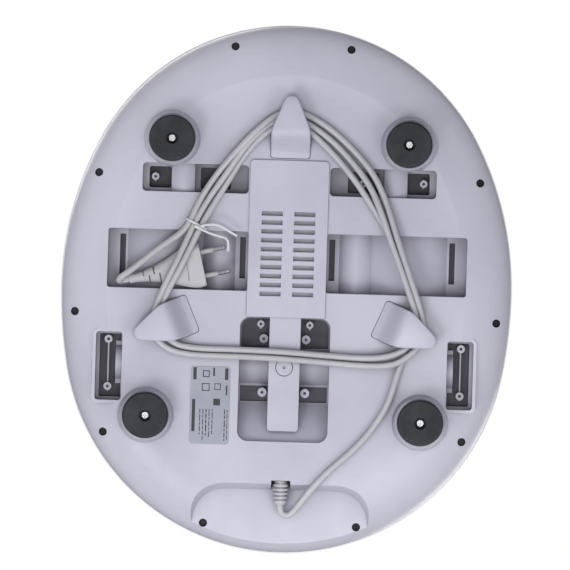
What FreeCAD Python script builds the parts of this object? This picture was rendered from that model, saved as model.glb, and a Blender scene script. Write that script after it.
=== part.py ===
import FreeCAD, Part
import math
import os
import re
import Sketcher

V = FreeCAD.Vector
doc = FreeCAD.newDocument("FootMassager")

# ---------------------------------------------------------------- driving sizes
# The massager stands on its feet, and the origin is on the floor below its middle. +Z is up,
# +Y points at the end that the cord leaves, and +X to the right of someone who looks along +Y.
SIZES = [
    ("half_width", 175, "half of the overall width"),
    ("half_length", 205, "half of the overall length"),
    ("front_flatness", 0.3333, "front end arc: shortfall on the half width, per mm of extra length"),
    ("back_flatness", 0.1, "back end arc: shortfall on the half width, per mm of extra length"),
    ("plateau_height", 20, "floor to the flat underside"),
    ("platform_drop", 1.5, "how far the middle platform stands below the flat underside"),
    ("parting_height", 50, "floor to the joint of the two shells"),
    ("crown_height", 100, "floor to the middle of the top face"),
    ("crown_tilt", 2.5, "degrees by which the top face rises to the back"),
    ("crown_inset", 38, "outline to the edge of the top face"),
    ("upper_lip", 0.8, "how far the upper shell overhangs the lower one"),
    ("rim_width_side", 36, "outline to the flat underside, at the sides"),
    ("rim_width_front", 39, "outline to the flat underside, at the front"),
    ("rim_width_back", 35, "outline to the flat underside, at the back"),
    ("wall", 2.6, "wall of the shells"),
    ("gap", 0.3, "clearance round a piece that is let into another"),
    ("foot_radius", 17.7, "rubber foot"),
    ("foot_recess", 1.5, "how deep a foot is let into its seat"),
    ("foot_bore", 4.7, "counterbore of a foot"),
    ("foot_bore_depth", 7.5, "floor to the bottom of the counterbore"),
    ("foot_edge", 1.2, "chamfer round a foot"),
    ("seat_radius", 19.6, "raised seat of a foot, at its face"),
    ("seat_foot_radius", 21.8, "raised seat of a foot, where it leaves the underside"),
    ("seat_height", 11.5, "floor to the face of a foot's seat"),
    ("front_feet_x", 91.8, "front feet from the middle line"),
    ("front_feet_y", 114.6, "front feet ahead of the middle"),
    ("back_feet_x", 106.4, "back feet from the middle line"),
    ("back_feet_y", 100.3, "back feet behind the middle"),
    ("foot_screw_radius", 1.9, "shank of a foot's screw"),
    ("foot_screw_head", 3, "head of a foot's screw"),
    ("foot_screw_length", 13, "shank of a foot's screw"),
    ("screw_head_height", 2.2, "height of every screw head"),
    ("well_radius", 3.2, "screw well in the rim"),
    ("well_wall", 2.2, "wall of a screw well"),
    ("rim_screw_radius", 1.6, "shank of a rim screw"),
    ("rim_screw_head", 2.8, "head of a rim screw"),
    ("rim_screw_length", 16, "shank of a rim screw"),
    ("rim_screw_seat", 41, "floor to the seat of a rim screw's head"),
    ("pocket_inner", 30.4, "big pocket's inner wall from the middle line"),
    ("pocket_outer", 139.2, "big pocket's outer wall from the middle line"),
    ("pocket_front", -44, "big pocket's front wall"),
    ("pocket_back", 2, "big pocket's back wall"),
    ("pocket_depth", 17, "underside to the floor of the big pocket"),
    ("slot_width", 4.4, "slots in the big pocket's floor"),
    ("slot_front", -39.8, "front end of those slots"),
    ("slot_back", -7.8, "back end of those slots"),
    ("slot_inset", 4.3, "big pocket's inner wall to the middle of the inner slot"),
    ("slot_outset", 11.2, "big pocket's outer wall to the middle of the outer slot"),
    ("front_pocket_inner", 31.5, "front pocket's inner wall from the middle line"),
    ("front_pocket_outer", 113.9, "front pocket's outer wall from the middle line"),
    ("front_pocket_front", -95.4, "front pocket's front wall"),
    ("front_pocket_back", -73.4, "front pocket's back wall"),
    ("front_pocket_depth", 15, "underside to the front pocket's floor"),
    ("rim_pocket_inner", 126, "rim pocket's inner wall from the middle line"),
    ("rim_pocket_outer", 146.4, "rim pocket's outer wall from the middle line"),
    ("rim_pocket_front", 36.5, "rim pocket's front wall"),
    ("rim_pocket_back", 89.5, "rim pocket's back wall"),
    ("rim_pocket_depth", 13, "underside to the rim pocket's floor"),
    ("recess_half", 35, "half of the middle recess across"),
    ("recess_front", 21.8, "middle recess's front wall"),
    ("recess_back", 118.2, "middle recess's back wall"),
    ("recess_corner", 8, "corner radius of the middle recess"),
    ("recess_depth", 20.5, "underside to the floor of the middle recess"),
    ("tongue_half", 12, "half of the recess's tongue across"),
    ("tongue_back", 110, "back end of the recess's tongue"),
    ("platform_half", 30.5, "half of the middle platform across"),
    ("platform_front", -100, "front edge of the middle platform"),
    ("vent_pitch", 6.92, "between neighbouring vent slots"),
    ("vent_start", -58.6, "middle of the first vent slot"),
    ("vent_column", 12.6, "middle line to the middle of a column of vent slots"),
    ("vent_length", 16.2, "vent slot"),
    ("vent_width", 3.4, "vent slot"),
    ("chassis_post", 4.5, "radius of the posts that carry the chassis plate"),
    ("hook_reach", 48.5, "cord hook, base edge to tip"),
    ("hook_base_width", 31, "cord hook across its base"),
    ("hook_base_length", 21, "length of a cord hook's base"),
    ("hook_neck_width", 15, "neck that the cord lies against"),
    ("hook_drop", 14.6, "underside to the outer face of a hook"),
    ("hook_thickness", 4, "thickness of a hook's tongue"),
    ("hook_tip_radius", 5.2, "tip of a hook seen from below"),
    ("hook_shoulder", 19, "base edge to where a hook starts to narrow"),
    ("side_hook_x", 72.3, "side hooks' base edge from the middle line"),
    ("side_hook_y", 20.1, "side hooks' base edge behind the middle"),
    ("side_hook_angle", 23, "degrees by which a side hook turns to the back"),
    ("front_hook_y", 101.8, "front hook's base edge ahead of the middle"),
    ("cord_diameter", 5, "mains cord"),
    ("plate_width", 30.3, "rating plate across"),
    ("plate_length", 59.9, "rating plate along"),
    ("plate_thickness", 0.5, "rating plate"),
    ("plate_x", -56.7, "rating plate from the middle line"),
    ("plate_y", 91.4, "rating plate behind the middle"),
    ("bay_edge", 151, "front wall of the cable bay, behind the middle"),
    ("bay_height", 34, "floor to the ceiling of the cable bay"),
    ("bay_half", 43, "straight part of the bay's front wall, from the middle line"),
    ("bay_corner", 30, "corner radius of the cable bay"),
    ("bay_draft", 5, "how far the bay's wall leans over its depth"),
    ("relief_length", 16.5, "strain relief outside the bay's wall"),
    ("relief_radius", 6.2, "strain relief at the wall"),
    ("relief_height", 27.4, "floor to the strain relief's axis"),
    ("chassis_height", 44, "floor to the chassis plate"),
    ("chassis_thickness", 3, "chassis plate"),
    ("chassis_inset", 17, "outline to the edge of the chassis plate"),
    ("disc_spacing", 66, "between neighbouring massage discs, the gears' pitch diameter"),
    ("disc_x", 82, "massage discs from the middle line"),
    ("disc_radius", 29, "massage disc"),
    ("disc_height", 58, "floor to the underside of a massage disc"),
    ("disc_thickness", 3, "plate of a massage disc"),
    ("node_radius", 8.5, "massage node"),
    ("node_circle", 16.5, "circle of a disc's three nodes"),
    ("node_top", 74.4, "floor to the top of a massage node"),
    ("axle_radius", 3, "axle pins"),
    ("running_gap", 0.05, "radial clearance of a turning bore"),
    ("gear_height", 48, "floor to the underside of the gears"),
    ("gear_width", 7, "face width of the gears"),
    ("gear_module", 2, "tooth size"),
    ("pinion_teeth", 13, "teeth of the motor's pinion"),
    ("idler_teeth", 18, "teeth of an idler gear"),
    ("motor_radius", 17.5, "motor can"),
    ("motor_top", 94, "floor to the top of the motor"),
    ("gearhead_height", 11, "reduction gear under the motor"),
    ("bracket_height", 57, "floor to the motor bracket"),
    ("foot_well_inset", 31, "outline to the outer wall of a foot well"),
    ("foot_well_ridge", 22, "middle line to the inner wall of a foot well"),
    ("foot_well_corner", 22, "corner radius of a foot well"),
    ("foot_well_floor", 66, "floor to the underside of a foot well's floor"),
    ("cover_height", 74.9, "floor to the underside of a foot cover"),
    ("cover_thickness", 4.2, "foot cover"),
    ("frame_width", 7, "frame of a foot cover"),
    ("button_radius", 13, "power button"),
    ("button_y", -112, "power button ahead of the middle"),
    ("button_travel", 2.5, "press of the power button"),
    ("plug_length", 58, "plug body with its sleeve"),
    ("plug_width", 35.3, "plug across its pins"),
    ("plug_depth", 13.7, "plug through its flat sides"),
    ("pin_spacing", 18.6, "plug pins"),
    ("pin_radius", 2, "metal of a plug pin"),
    ("pin_length", 19, "plug pin"),
]

sheet = doc.addObject("Spreadsheet::Sheet", "Sizes")
for row, (alias, number, note) in enumerate(SIZES, start=1):
    sheet.set("A%d" % row, alias)
    sheet.set("B%d" % row, str(number))
    sheet.setAlias("B%d" % row, alias)
    sheet.set("C%d" % row, note)
doc.recompute()


def size(alias):
    """One driving size from the sheet."""
    return float(sheet.get(alias))


def on_sheet(formula):
    """The formula with each word turned into a reference to the sheet."""
    return re.sub(r"[a-z][a-z_]+", lambda word: "Sizes." + word.group(0), formula)


def value(formula):
    """What a formula of sheet words comes to."""
    return float(sheet.evalExpression(on_sheet(formula)))


# ---------------------------------------------------------------- general builders
parts = {}


def keep(name, thing):
    """Register a document object as the sub-part of that name."""
    thing.Label = name
    parts[name] = thing
    return thing


def fixed_shape(name, shape):
    """A sub-part whose solid is worked out in code from the sheet."""
    holder = doc.addObject("Part::Feature", name)
    holder.Shape = shape
    return keep(name, holder)


def origin_feature(body, role):
    return [item for item in body.Origin.OriginFeatures if item.Role == role][0]


def pin_corner(sketch, line, kind, axis, formula):
    """Hold one coordinate of a line's start point: on an axis, or at a size of the sheet."""
    if formula == "0":
        sketch.addConstraint(Sketcher.Constraint("PointOnObject", line, 1, axis))
        return
    number = sketch.addConstraint(Sketcher.Constraint(kind, -1, 1, line, 1, value(formula)))
    sketch.setExpression("Constraints[%d]" % number, on_sheet(formula))


def polygon_sketch(body, name, role, corners):
    """A closed polygon on an origin plane, each corner held by two sheet formulas."""
    sketch = body.newObject("Sketcher::SketchObject", name)
    sketch.AttachmentSupport = [(origin_feature(body, role), "")]
    sketch.MapMode = "FlatFace"
    points = [V(value(across), value(up), 0) for across, up in corners]
    for start, end in zip(points, points[1:] + points[:1]):
        sketch.addGeometry(Part.LineSegment(start, end))
    count = len(points)
    for line in range(count):
        sketch.addConstraint(Sketcher.Constraint("Coincident", line, 2, (line + 1) % count, 1))
    for line, (across, up) in enumerate(corners):
        pin_corner(sketch, line, "DistanceX", -2, across)
        pin_corner(sketch, line, "DistanceY", -1, up)
    return sketch


def turned_body(name, profile):
    """A body turned about Z from (radius, height) corners."""
    body = doc.addObject("PartDesign::Body", name)
    sketch = polygon_sketch(body, name + "_profile", "XZ_Plane", profile)
    turn = body.newObject("PartDesign::Revolution", name + "_turn")
    turn.Profile = sketch
    turn.ReferenceAxis = (sketch, ["V_Axis"])
    turn.Angle = 360
    sketch.Visibility = False
    return body


def raised_body(name, outline, start, height):
    """A body padded up from a height on the sheet."""
    body = doc.addObject("PartDesign::Body", name)
    sketch = polygon_sketch(body, name + "_outline", "XY_Plane", outline)
    sketch.setExpression("AttachmentOffset.Base.z", on_sheet(start))
    pad = body.newObject("PartDesign::Pad", name + "_pad")
    pad.Profile = sketch
    pad.setExpression("Length", on_sheet(height))
    sketch.Visibility = False
    return body


def rectangle(left, right, front, back):
    return [(left, front), (right, front), (right, back), (left, back)]


def set_place(thing, across="0", along="0", up="0"):
    """Bind a sub-part's place to the sheet."""
    for axis, formula in (("x", across), ("y", along), ("z", up)):
        thing.setExpression("Placement.Base." + axis, on_sheet(formula))
    return thing


def block(left, right, front, back, bottom, top):
    return Part.makeBox(right - left, back - front, top - bottom, V(left, front, bottom))


def upright(radius, bottom, top, across=0.0, along=0.0):
    return Part.makeCylinder(radius, top - bottom, V(across, along, bottom))


def soft_block(left, right, front, back, bottom, top, corner):
    """A block whose upright edges are rounded."""
    plain = block(left, right, front, back, bottom, top)
    edges = [edge for edge in plain.Edges if abs(edge.tangentAt(edge.FirstParameter).z) > 0.9]
    return plain.makeFillet(corner, edges)


def mirrored(shape):
    """The same shape on the other side of the middle plane."""
    return shape.mirror(V(0, 0, 0), V(1, 0, 0))


def both_sides(shapes):
    return list(shapes) + [mirrored(shape) for shape in shapes]


def prism(points, direction):
    """A polygon of points swept along a direction."""
    wire = Part.makePolygon(list(points) + [points[0]])
    return Part.Face(wire).extrude(direction)


def joined(shapes):
    return shapes[0].fuse(list(shapes[1:])) if len(shapes) > 1 else shapes[0]


# ---------------------------------------------------------------- the oval outline
def oval_quarter(half_width, reach, flatness):
    """The two arcs of a quarter: their meeting point, and the middle of the side arc."""
    excess = reach - half_width
    end_radius = half_width - flatness * excess
    rise = reach - end_radius
    side_radius = half_width + excess * (1 + 2 * flatness) / (2 * flatness)
    tilt = math.atan2(1 + flatness, (1 + 2 * flatness) / (2 * flatness))
    meeting = (end_radius * math.cos(tilt), rise + end_radius * math.sin(tilt))
    middle_x = side_radius * math.cos(tilt / 2) - (side_radius - half_width)
    return meeting, (middle_x, side_radius * math.sin(tilt / 2))


def oval(side_inset, front_inset, back_inset, height, tilt=0.0):
    """The outline of tangent arcs, moved inwards, at a height, tilted about the X axis."""
    half_width = size("half_width") - side_inset
    front = size("half_length") - front_inset
    back = size("half_length") - back_inset
    (meet_x, meet_y), (side_x, side_y) = oval_quarter(half_width, back, size("back_flatness"))
    (lead_x, lead_y), (flank_x, flank_y) = oval_quarter(half_width, front, size("front_flatness"))
    stations = [
        (half_width, 0), (side_x, side_y), (meet_x, meet_y),
        (0, back), (-meet_x, meet_y),
        (-side_x, side_y), (-half_width, 0),
        (-flank_x, -flank_y), (-lead_x, -lead_y),
        (0, -front), (lead_x, -lead_y),
        (flank_x, -flank_y), (half_width, 0),
    ]
    points = [V(x, y, 0) for x, y in stations]
    arcs = [Part.Arc(points[i], points[i + 1], points[i + 2]).toShape() for i in range(0, 12, 2)]
    wire = Part.Wire(arcs)
    wire.rotate(V(0, 0, 0), V(1, 0, 0), tilt)
    wire.translate(V(0, 0, height))
    return wire


def oval_slab(inset, bottom, top):
    face = Part.Face(oval(inset, inset, inset, bottom))
    return face.extrude(V(0, 0, top - bottom))


def skin_offset(profile, distance):
    """A profile of (inset, height) points moved inwards, square to itself."""
    moved = []
    last = len(profile) - 1
    for i, (inset, height) in enumerate(profile):
        before = profile[max(i - 1, 0)]
        after = profile[min(i + 1, last)]
        run = math.hypot(after[0] - before[0], after[1] - before[1])
        across = (after[1] - before[1]) / run
        along = (before[0] - after[0]) / run
        moved.append((inset + distance * abs(across), height + distance * along))
    return moved


RIM_STEPS = (0.0, 0.06, 0.16, 0.32, 0.55, 0.78, 1.0)


def rim_share(step):
    """How much of the rim's width is left at a share of its height."""
    return 1.0 - math.sin(math.radians(90 * step)) ** 0.6


def lower_form(distance):
    """The solid inside the lower shell's skin, moved inwards by a distance."""
    rise = size("parting_height") - size("plateau_height")
    widths = [size("rim_width_side"), size("rim_width_front"), size("rim_width_back")]
    columns = []
    for width in widths:
        profile = [(width * rim_share(s), size("plateau_height") + rise * s) for s in RIM_STEPS]
        columns.append(skin_offset(profile, distance) if distance else profile)
    wires = []
    last = len(RIM_STEPS) - 1
    for i, (side, front, back) in enumerate(zip(*columns)):
        height = side[1]
        if i == 0:
            height = size("plateau_height") + distance
        if i == last:
            height = size("parting_height")
        wires.append(oval(side[0], front[0], back[0], height))
    return Part.makeLoft(wires, True, False)


CROWN_ANGLES = (0, 14, 30, 47, 63, 76, 84)


def upper_form(distance):
    """The solid inside the upper shell's skin, moved inwards by a distance."""
    rise = size("crown_height") - size("parting_height") - distance
    spread = size("crown_inset") + size("upper_lip") - distance
    last = math.radians(CROWN_ANGLES[-1])
    wires = []
    for degrees in CROWN_ANGLES:
        angle = math.radians(degrees)
        inset = distance - size("upper_lip") + spread * (1 - math.cos(angle)) / (1 - math.cos(last))
        share = math.sin(angle) / math.sin(last)
        height = size("parting_height") + rise * share
        wires.append(oval(inset, inset, inset, height, size("crown_tilt") * share))
    return Part.makeLoft(wires, True, False)


# ---------------------------------------------------------------- places of repeated features
FEET = {
    "front_left": (-size("front_feet_x"), -size("front_feet_y")),
    "front_right": (size("front_feet_x"), -size("front_feet_y")),
    "back_left": (-size("back_feet_x"), size("back_feet_y")),
    "back_right": (size("back_feet_x"), size("back_feet_y")),
}
RIM_SCREW_ANGLES = (13.5, 59.6, 97.5, 129.4, 162)
RIM_SCREW_INSET = 10.5


def rim_point(degrees, inset):
    """A place on the rim, at an angle from the front, seen from the oval's middle."""
    line = Part.makeLine(V(0, 0, 0), V(600 * math.sin(math.radians(degrees)),
                                       -600 * math.cos(math.radians(degrees)), 0))
    outline = oval(inset, inset, inset, 0)
    vertex = outline.distToShape(line)[1][0][0]
    return vertex.x, vertex.y


RIM_SCREWS = [rim_point(side * angle, RIM_SCREW_INSET)
              for angle in RIM_SCREW_ANGLES for side in (1, -1)]

HOOKS = {
    "front": (0.0, -size("front_hook_y"), -90.0),
    "right": (size("side_hook_x"), size("side_hook_y"), size("side_hook_angle")),
    "left": (-size("side_hook_x"), size("side_hook_y"), 180.0 - size("side_hook_angle")),
}

# Screw posts of the chassis that show through the windows of the underside: x, y, radius.
POSTS = [(57.3, -83.9, 2.9), (104.2, -85, 2.9), (137, 42.3, 3.1), (136.9, 79, 3.1),
         (19, 27.3, 2.8), (16.4, 38.6, 3.4), (16.6, 80.3, 3.5)]


# Posts of the lower shell that carry the chassis plate, on the right-hand side.
CHASSIS_POSTS = [(62, -128), (127, 19), (60, 140)]


def put(shape, across, along, degrees=0.0, up=0.0):
    """A copy of a shape, turned about Z and moved to its place."""
    placed = shape.copy()
    placed.rotate(V(0, 0, 0), V(0, 0, 1), degrees)
    placed.translate(V(across, along, up))
    return placed


# ---------------------------------------------------------------- lower shell
def cup_and_hollow(left, right, front, back, depth, corner):
    """The walls of a pocket in the underside, and the hollow that they stand round."""
    face = size("plateau_height")
    wall = size("wall")
    hollow = soft_block(left, right, front, back, face - 4, face + depth, corner)
    cup = soft_block(left - wall, right + wall, front - wall, back + wall,
                     face + wall / 2, face + depth + wall, corner + wall)
    return cup, hollow


# Humps of the big pocket's floor: distance from the middle line, radius, and depth of the top.
POCKET_HUMPS = ((53.0, 20.0, 12.5), (95.0, 60.0, 9.5))


def big_pocket():
    """The pocket that the plug lies in: two humps on its floor and a slot at each end."""
    face = size("plateau_height")
    wall = size("wall")
    deep = size("pocket_depth")
    inner, outer = size("pocket_inner"), size("pocket_outer")
    front, back = size("pocket_front"), size("pocket_back")
    cup, hollow = cup_and_hollow(inner, outer, front, back, deep, 2)
    humps, linings = [], []
    for middle, radius, depth in POCKET_HUMPS:
        axis = V(middle, front - wall, face + depth + radius)
        reach = back - front + 2 * wall
        humps.append(Part.makeCylinder(radius, reach, axis, V(0, 1, 0)))
        linings.append(Part.makeCylinder(radius - wall, reach, axis, V(0, 1, 0)))
    half = size("slot_width") / 2
    slots = [block(middle - half, middle + half, size("slot_front"), size("slot_back"),
                   face, face + deep + 2 * wall)
             for middle in (inner + size("slot_inset"), outer - size("slot_outset"))]
    return cup.cut(linings), hollow.cut(humps), slots


def front_pocket():
    """The long front pocket: a shallow outer end, a low arch and a deep inner end."""
    face = size("plateau_height")
    deep = size("front_pocket_depth")
    front, back = size("front_pocket_front"), size("front_pocket_back")
    outer = size("front_pocket_outer")
    cup, hollow = cup_and_hollow(size("front_pocket_inner"), outer, front, back, deep, 3)
    arch_middle = outer - 31.5
    arch_half = 9.0
    arch = Part.makeCylinder(20, 40, V(arch_middle, front - 10, face + 23), V(0, 1, 0))
    arch = arch.common(block(arch_middle - arch_half, arch_middle + arch_half,
                             front - 10, back + 10, face, face + deep))
    shelf = block(arch_middle + arch_half, outer + 6, front - 3, back + 3, face + 10, face + deep)
    windows = [soft_block(start, end, front + 2.4, back - 3, face, face + deep + 5, 1.5)
               for start, end in ((outer - 22.1, outer - 5.1), (outer - 68.4, outer - 44.9))]
    return cup, hollow.cut([arch, shelf]), windows


def rim_pocket():
    """The narrow pocket by the rim: a long window, two short ones and a swell between them."""
    face = size("plateau_height")
    deep = size("rim_pocket_depth")
    inner, outer = size("rim_pocket_inner"), size("rim_pocket_outer")
    front, back = size("rim_pocket_front"), size("rim_pocket_back")
    cup, hollow = cup_and_hollow(inner, outer, front, back, deep, 2.5)
    swell = Part.makeCylinder(16, outer - inner, V(inner, front + 23.5, face + 22), V(1, 0, 0))
    swell = swell.common(block(inner, inner + 5, front + 7.5, back - 13.5, face, face + deep))
    above = face + deep + 7
    windows = [
        soft_block(inner + 5, outer - 2.8, front + 1.5, back - 2.5, face, above, 1.5),
        block(inner + 1, inner + 6, front + 1.5, front + 7, face, above),
        block(inner + 1, inner + 6, back - 13, back - 2.5, face, above),
    ]
    return cup, hollow.cut(swell), windows


def side_pockets():
    """Pockets of the right-hand half: their cups, their hollows and their windows."""
    cups, hollows, windows = [], [], []
    for cup, hollow, holes in (big_pocket(), front_pocket(), rim_pocket()):
        cups.append(cup)
        hollows.append(hollow)
        windows += holes
    return cups, hollows, windows


def middle_recess():
    """The recess behind the platform: its cup, its hollow, the tongue in it and its windows."""
    face = size("plateau_height")
    deep = size("recess_depth")
    across = size("recess_half")
    front, back = size("recess_front"), size("recess_back")
    half, end = size("tongue_half"), size("tongue_back")
    drop = size("platform_drop")
    cup, hollow = cup_and_hollow(-across, across, front, back, deep, size("recess_corner"))
    tongue_side = [V(-half, front - 1, face + deep), V(-half, front - 1, face - drop),
                   V(-half, front + 28, face - drop + 0.6), V(-half, end, face + 5),
                   V(-half, end, face + deep)]
    tongue = prism(tongue_side, V(2 * half, 0, 0))
    ends = [edge for edge in tongue.Edges
            if edge.BoundBox.ZLength > 9 and edge.BoundBox.YMin > end - 1]
    tongue = tongue.makeFillet(2.5, ends)

    # A round injection mark with a sprue dimple.
    mark_y = front + 38.7
    ring = upright(6.9, face - 3, face + 1.8, 0, mark_y)
    ring = ring.cut(upright(6.3, face - 4, face + 4, 0, mark_y))
    tongue = tongue.cut([ring, upright(1.2, face - 3, face + 1.2, 0, mark_y)])
    ramp_side = [V(-across, back - 30, face + deep), V(-across, back, face + 4),
                 V(-across, back, face + deep)]
    ramp = prism(ramp_side, V(2 * across, 0, 0))
    drum_y = front + 38.2
    drum = Part.makeCylinder(17, 2 * across, V(-across, drum_y, face + 30.5), V(1, 0, 0))
    drum = drum.common(block(-across, across, drum_y - 13.5, drum_y + 14.5, face, face + deep))
    edge = 1.2
    above = face + deep + 7
    within = soft_block(-across + edge, across - edge, front + edge, back - edge,
                        face, above, size("recess_corner") - edge)
    near_tongue = half + 0.4
    windows = both_sides([
        within.common(block(near_tongue, across + 5, front, drum_y - 14.4, face, above)),
        within.common(block(near_tongue, across + 5, drum_y + 15.4, back - 30.6, face, above)),
    ])
    return cup, hollow.cut([tongue, ramp, drum]), windows


def bay_outline(grow, height):
    """The cable bay from below: a straight wall, two round corners, and open to the back."""
    half = size("bay_half")
    reach = size("bay_corner") + grow
    diagonal = reach * math.sqrt(0.5)
    turn = size("bay_edge") + size("bay_corner")
    far = size("half_length") + 20
    spots = [V(-half, turn - reach, height), V(half, turn - reach, height),
             V(half + diagonal, turn - diagonal, height), V(half + reach, turn, height),
             V(half + reach, far, height), V(-half - reach, far, height),
             V(-half - reach, turn, height), V(-half - diagonal, turn - diagonal, height)]
    return Part.Wire([
        Part.makeLine(spots[0], spots[1]),
        Part.Arc(spots[1], spots[2], spots[3]).toShape(),
        Part.makeLine(spots[3], spots[4]),
        Part.makeLine(spots[4], spots[5]),
        Part.makeLine(spots[5], spots[6]),
        Part.Arc(spots[6], spots[7], spots[0]).toShape(),
    ])


def bay_form(grow, bottom, top):
    """The bay's leaning walls between two heights."""
    face = size("plateau_height")
    lean = size("bay_draft") / (size("bay_height") - face)
    wires = [bay_outline(grow - lean * (height - face), height) for height in (bottom, top)]
    return Part.makeLoft(wires, True, True)


def cable_bay():
    """The bay at the back edge that the cord leaves through."""
    top = size("bay_height")
    wall = size("wall")
    hollow = bay_form(0, size("plateau_height") - 4, top)
    cup = bay_form(wall, size("plateau_height") + wall / 2, top + wall)
    return cup, hollow


def foot_seat():
    """A foot's raised seat at the origin, and the hollows in it."""
    face = size("seat_height")
    top = size("plateau_height") + size("wall")
    cone = Part.makeCone(size("seat_radius"), size("seat_foot_radius"),
                         size("plateau_height") - face, V(0, 0, face))
    cone = cone.fuse(upright(size("seat_foot_radius"), size("plateau_height"), top + 9))
    skin = face + size("foot_recess") + size("wall")
    core = upright(size("seat_radius") - size("wall"), skin, top + 1)
    core = core.fuse(upright(size("seat_foot_radius") - size("wall"), top, top + 10))
    boss = upright(size("foot_screw_radius") + 2.4, skin - 1, top + 8)
    recess = upright(size("foot_radius") + 0.2, face - 1, face + size("foot_recess"))
    drill = upright(size("foot_screw_radius"), face - 1, top + 9)
    return cone.cut(core).fuse(boss), recess.fuse(drill)


VENT_ROWS = 10


def vent_slots():
    """Two columns of slots in the middle platform."""
    face = size("plateau_height")
    half_length = size("vent_length") / 2
    half_width = size("vent_width") / 2
    slots = []
    for row in range(VENT_ROWS):
        along = size("vent_start") + size("vent_pitch") * row
        for column in (-size("vent_column"), size("vent_column")):
            slots.append(block(column - half_length, column + half_length,
                               along - half_width, along + half_width,
                               face - 5, face + size("wall") + 1))
    return slots


def make_lower_shell():
    face = size("plateau_height")
    wall = size("wall")
    outer = lower_form(0)
    shell = outer.cut(lower_form(wall))

    cups, hollows, windows = side_pockets()
    cups, hollows, windows = both_sides(cups), both_sides(hollows), both_sides(windows)
    recess_cup, recess_hollow, recess_windows = middle_recess()
    bay_cup, bay_hollow = cable_bay()
    cups += [recess_cup, bay_cup.common(outer)]
    hollows += [recess_hollow, bay_hollow]
    windows += recess_windows

    seat, seat_hollow = foot_seat()
    below = block(-300, 300, -300, 300, 0, face)
    for across, along in FEET.values():
        cups.append(put(seat, across, along).common(outer.fuse(below)))
        hollows.append(put(seat_hollow, across, along))

    well_top = size("rim_screw_seat")
    for across, along in RIM_SCREWS:
        post = upright(size("well_radius") + size("well_wall"), face, well_top + wall, across, along)
        cups.append(post.common(outer))
        hollows.append(upright(size("well_radius"), 0, well_top, across, along))
        hollows.append(upright(size("rim_screw_radius") + 0.2, 0, well_top + 2 * wall, across, along))

    half, recess = size("platform_half"), size("recess_front")
    platform = soft_block(-half, half, size("platform_front"), recess + 6,
                          face - size("platform_drop"), face + wall, 3)
    cups.append(platform.cut(block(-2 * half, 2 * half, recess, recess + 40, 0, 60)))

    base_clear = size("gap")
    half = size("hook_base_width") / 2 + base_clear
    socket = soft_block(-base_clear, size("hook_base_length") + base_clear, -half, half,
                        0, face + wall + 1, 3)
    sockets = [put(socket, x, y, degrees) for x, y, degrees in HOOKS.values()]

    # Three tubular posts a side carry the chassis plate.
    chassis_posts = []
    for across, along in CHASSIS_POSTS:
        chassis_posts.append(upright(size("chassis_post"), face + wall / 2,
                                     size("chassis_height"), across, along))
    cups += both_sides(chassis_posts)

    relief_side = size("relief_radius") + 1.2
    relief_slot = block(-relief_side, relief_side, size("bay_edge") - wall - 0.1,
                        size("bay_edge") + size("bay_draft") + wall, face - 1,
                        size("relief_height") + size("relief_radius") + 0.3)
    solid = joined([shell] + cups)
    cutters = hollows + windows + sockets + vent_slots() + [relief_slot]
    return solid.cut(cutters).removeSplitter()


# ---------------------------------------------------------------- upper shell
BOARD_TOP = size("crown_height") - 22
CROWN_FRAME = FreeCAD.Placement(V(0, 0, size("crown_height")),
                                FreeCAD.Rotation(V(1, 0, 0), size("crown_tilt")))
CROWN_FRAME = CROWN_FRAME.multiply(FreeCAD.Placement(V(0, size("button_y"), -size("crown_height")),
                                                     FreeCAD.Rotation()))


def on_crown(shape):
    """A shape made on the Z axis, moved square to the sloping top face at the button."""
    placed = shape.copy()
    placed.transformShape(CROWN_FRAME.toMatrix())
    return placed


def foot_well(grow, bottom, top):
    """A foot well of the right-hand side: half an oval, with rounded corners."""
    inset = size("foot_well_inset") - grow
    inner = size("foot_well_ridge") - grow
    half = oval_slab(inset, bottom, top).common(block(inner, 400, -400, 400, bottom, top))
    edges = [edge for edge in half.Edges
             if edge.BoundBox.ZLength > 1 and edge.BoundBox.XMax < inner + 1]
    return half.makeFillet(size("foot_well_corner") + grow, edges)


def disc_window(bottom, top):
    """The long hole in a foot well's floor that the massage discs work in."""
    reach = size("disc_radius") + 4
    half = size("disc_spacing")
    across = size("disc_x")
    slot = block(across - reach, across + reach, -half, half, bottom, top)
    ends = [upright(reach, bottom, top, across, along) for along in (-half, half)]
    return slot.fuse(ends)


def make_upper_shell():
    wall = size("wall")
    top = size("crown_height") + 30
    outer = upper_form(0)
    shell = outer.cut(upper_form(wall))
    floor = size("foot_well_floor")
    cup = foot_well(wall, floor, top)
    well = foot_well(0, floor + wall, top)
    hole = disc_window(floor - 1, top)
    cups = [piece.common(outer) for piece in both_sides([cup])]
    posts = []
    pilots = []
    low = size("rim_screw_seat") + wall
    parting = size("parting_height")
    below_crown = outer.fuse(oval_slab(2 * wall, low, parting))
    for across, along in RIM_SCREWS:
        post = upright(size("rim_screw_radius") + 2.4, low + 0.4, size("crown_height"), across, along)
        posts.append(post.common(below_crown))
        pilots.append(upright(size("rim_screw_radius"), low, low + size("rim_screw_length"),
                              across, along))
    board_posts = [on_crown(upright(2.4, BOARD_TOP, size("crown_height"), 0, along))
                   for along in (-18, 18)]
    cups += [post.common(outer) for post in board_posts]
    cups += posts
    button_hole = on_crown(upright(size("button_radius") + 2.4, 70, top))
    solid = joined([shell] + cups)
    cutters = both_sides([well, hole]) + pilots + [button_hole]
    return solid.cut(cutters).removeSplitter()


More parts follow.
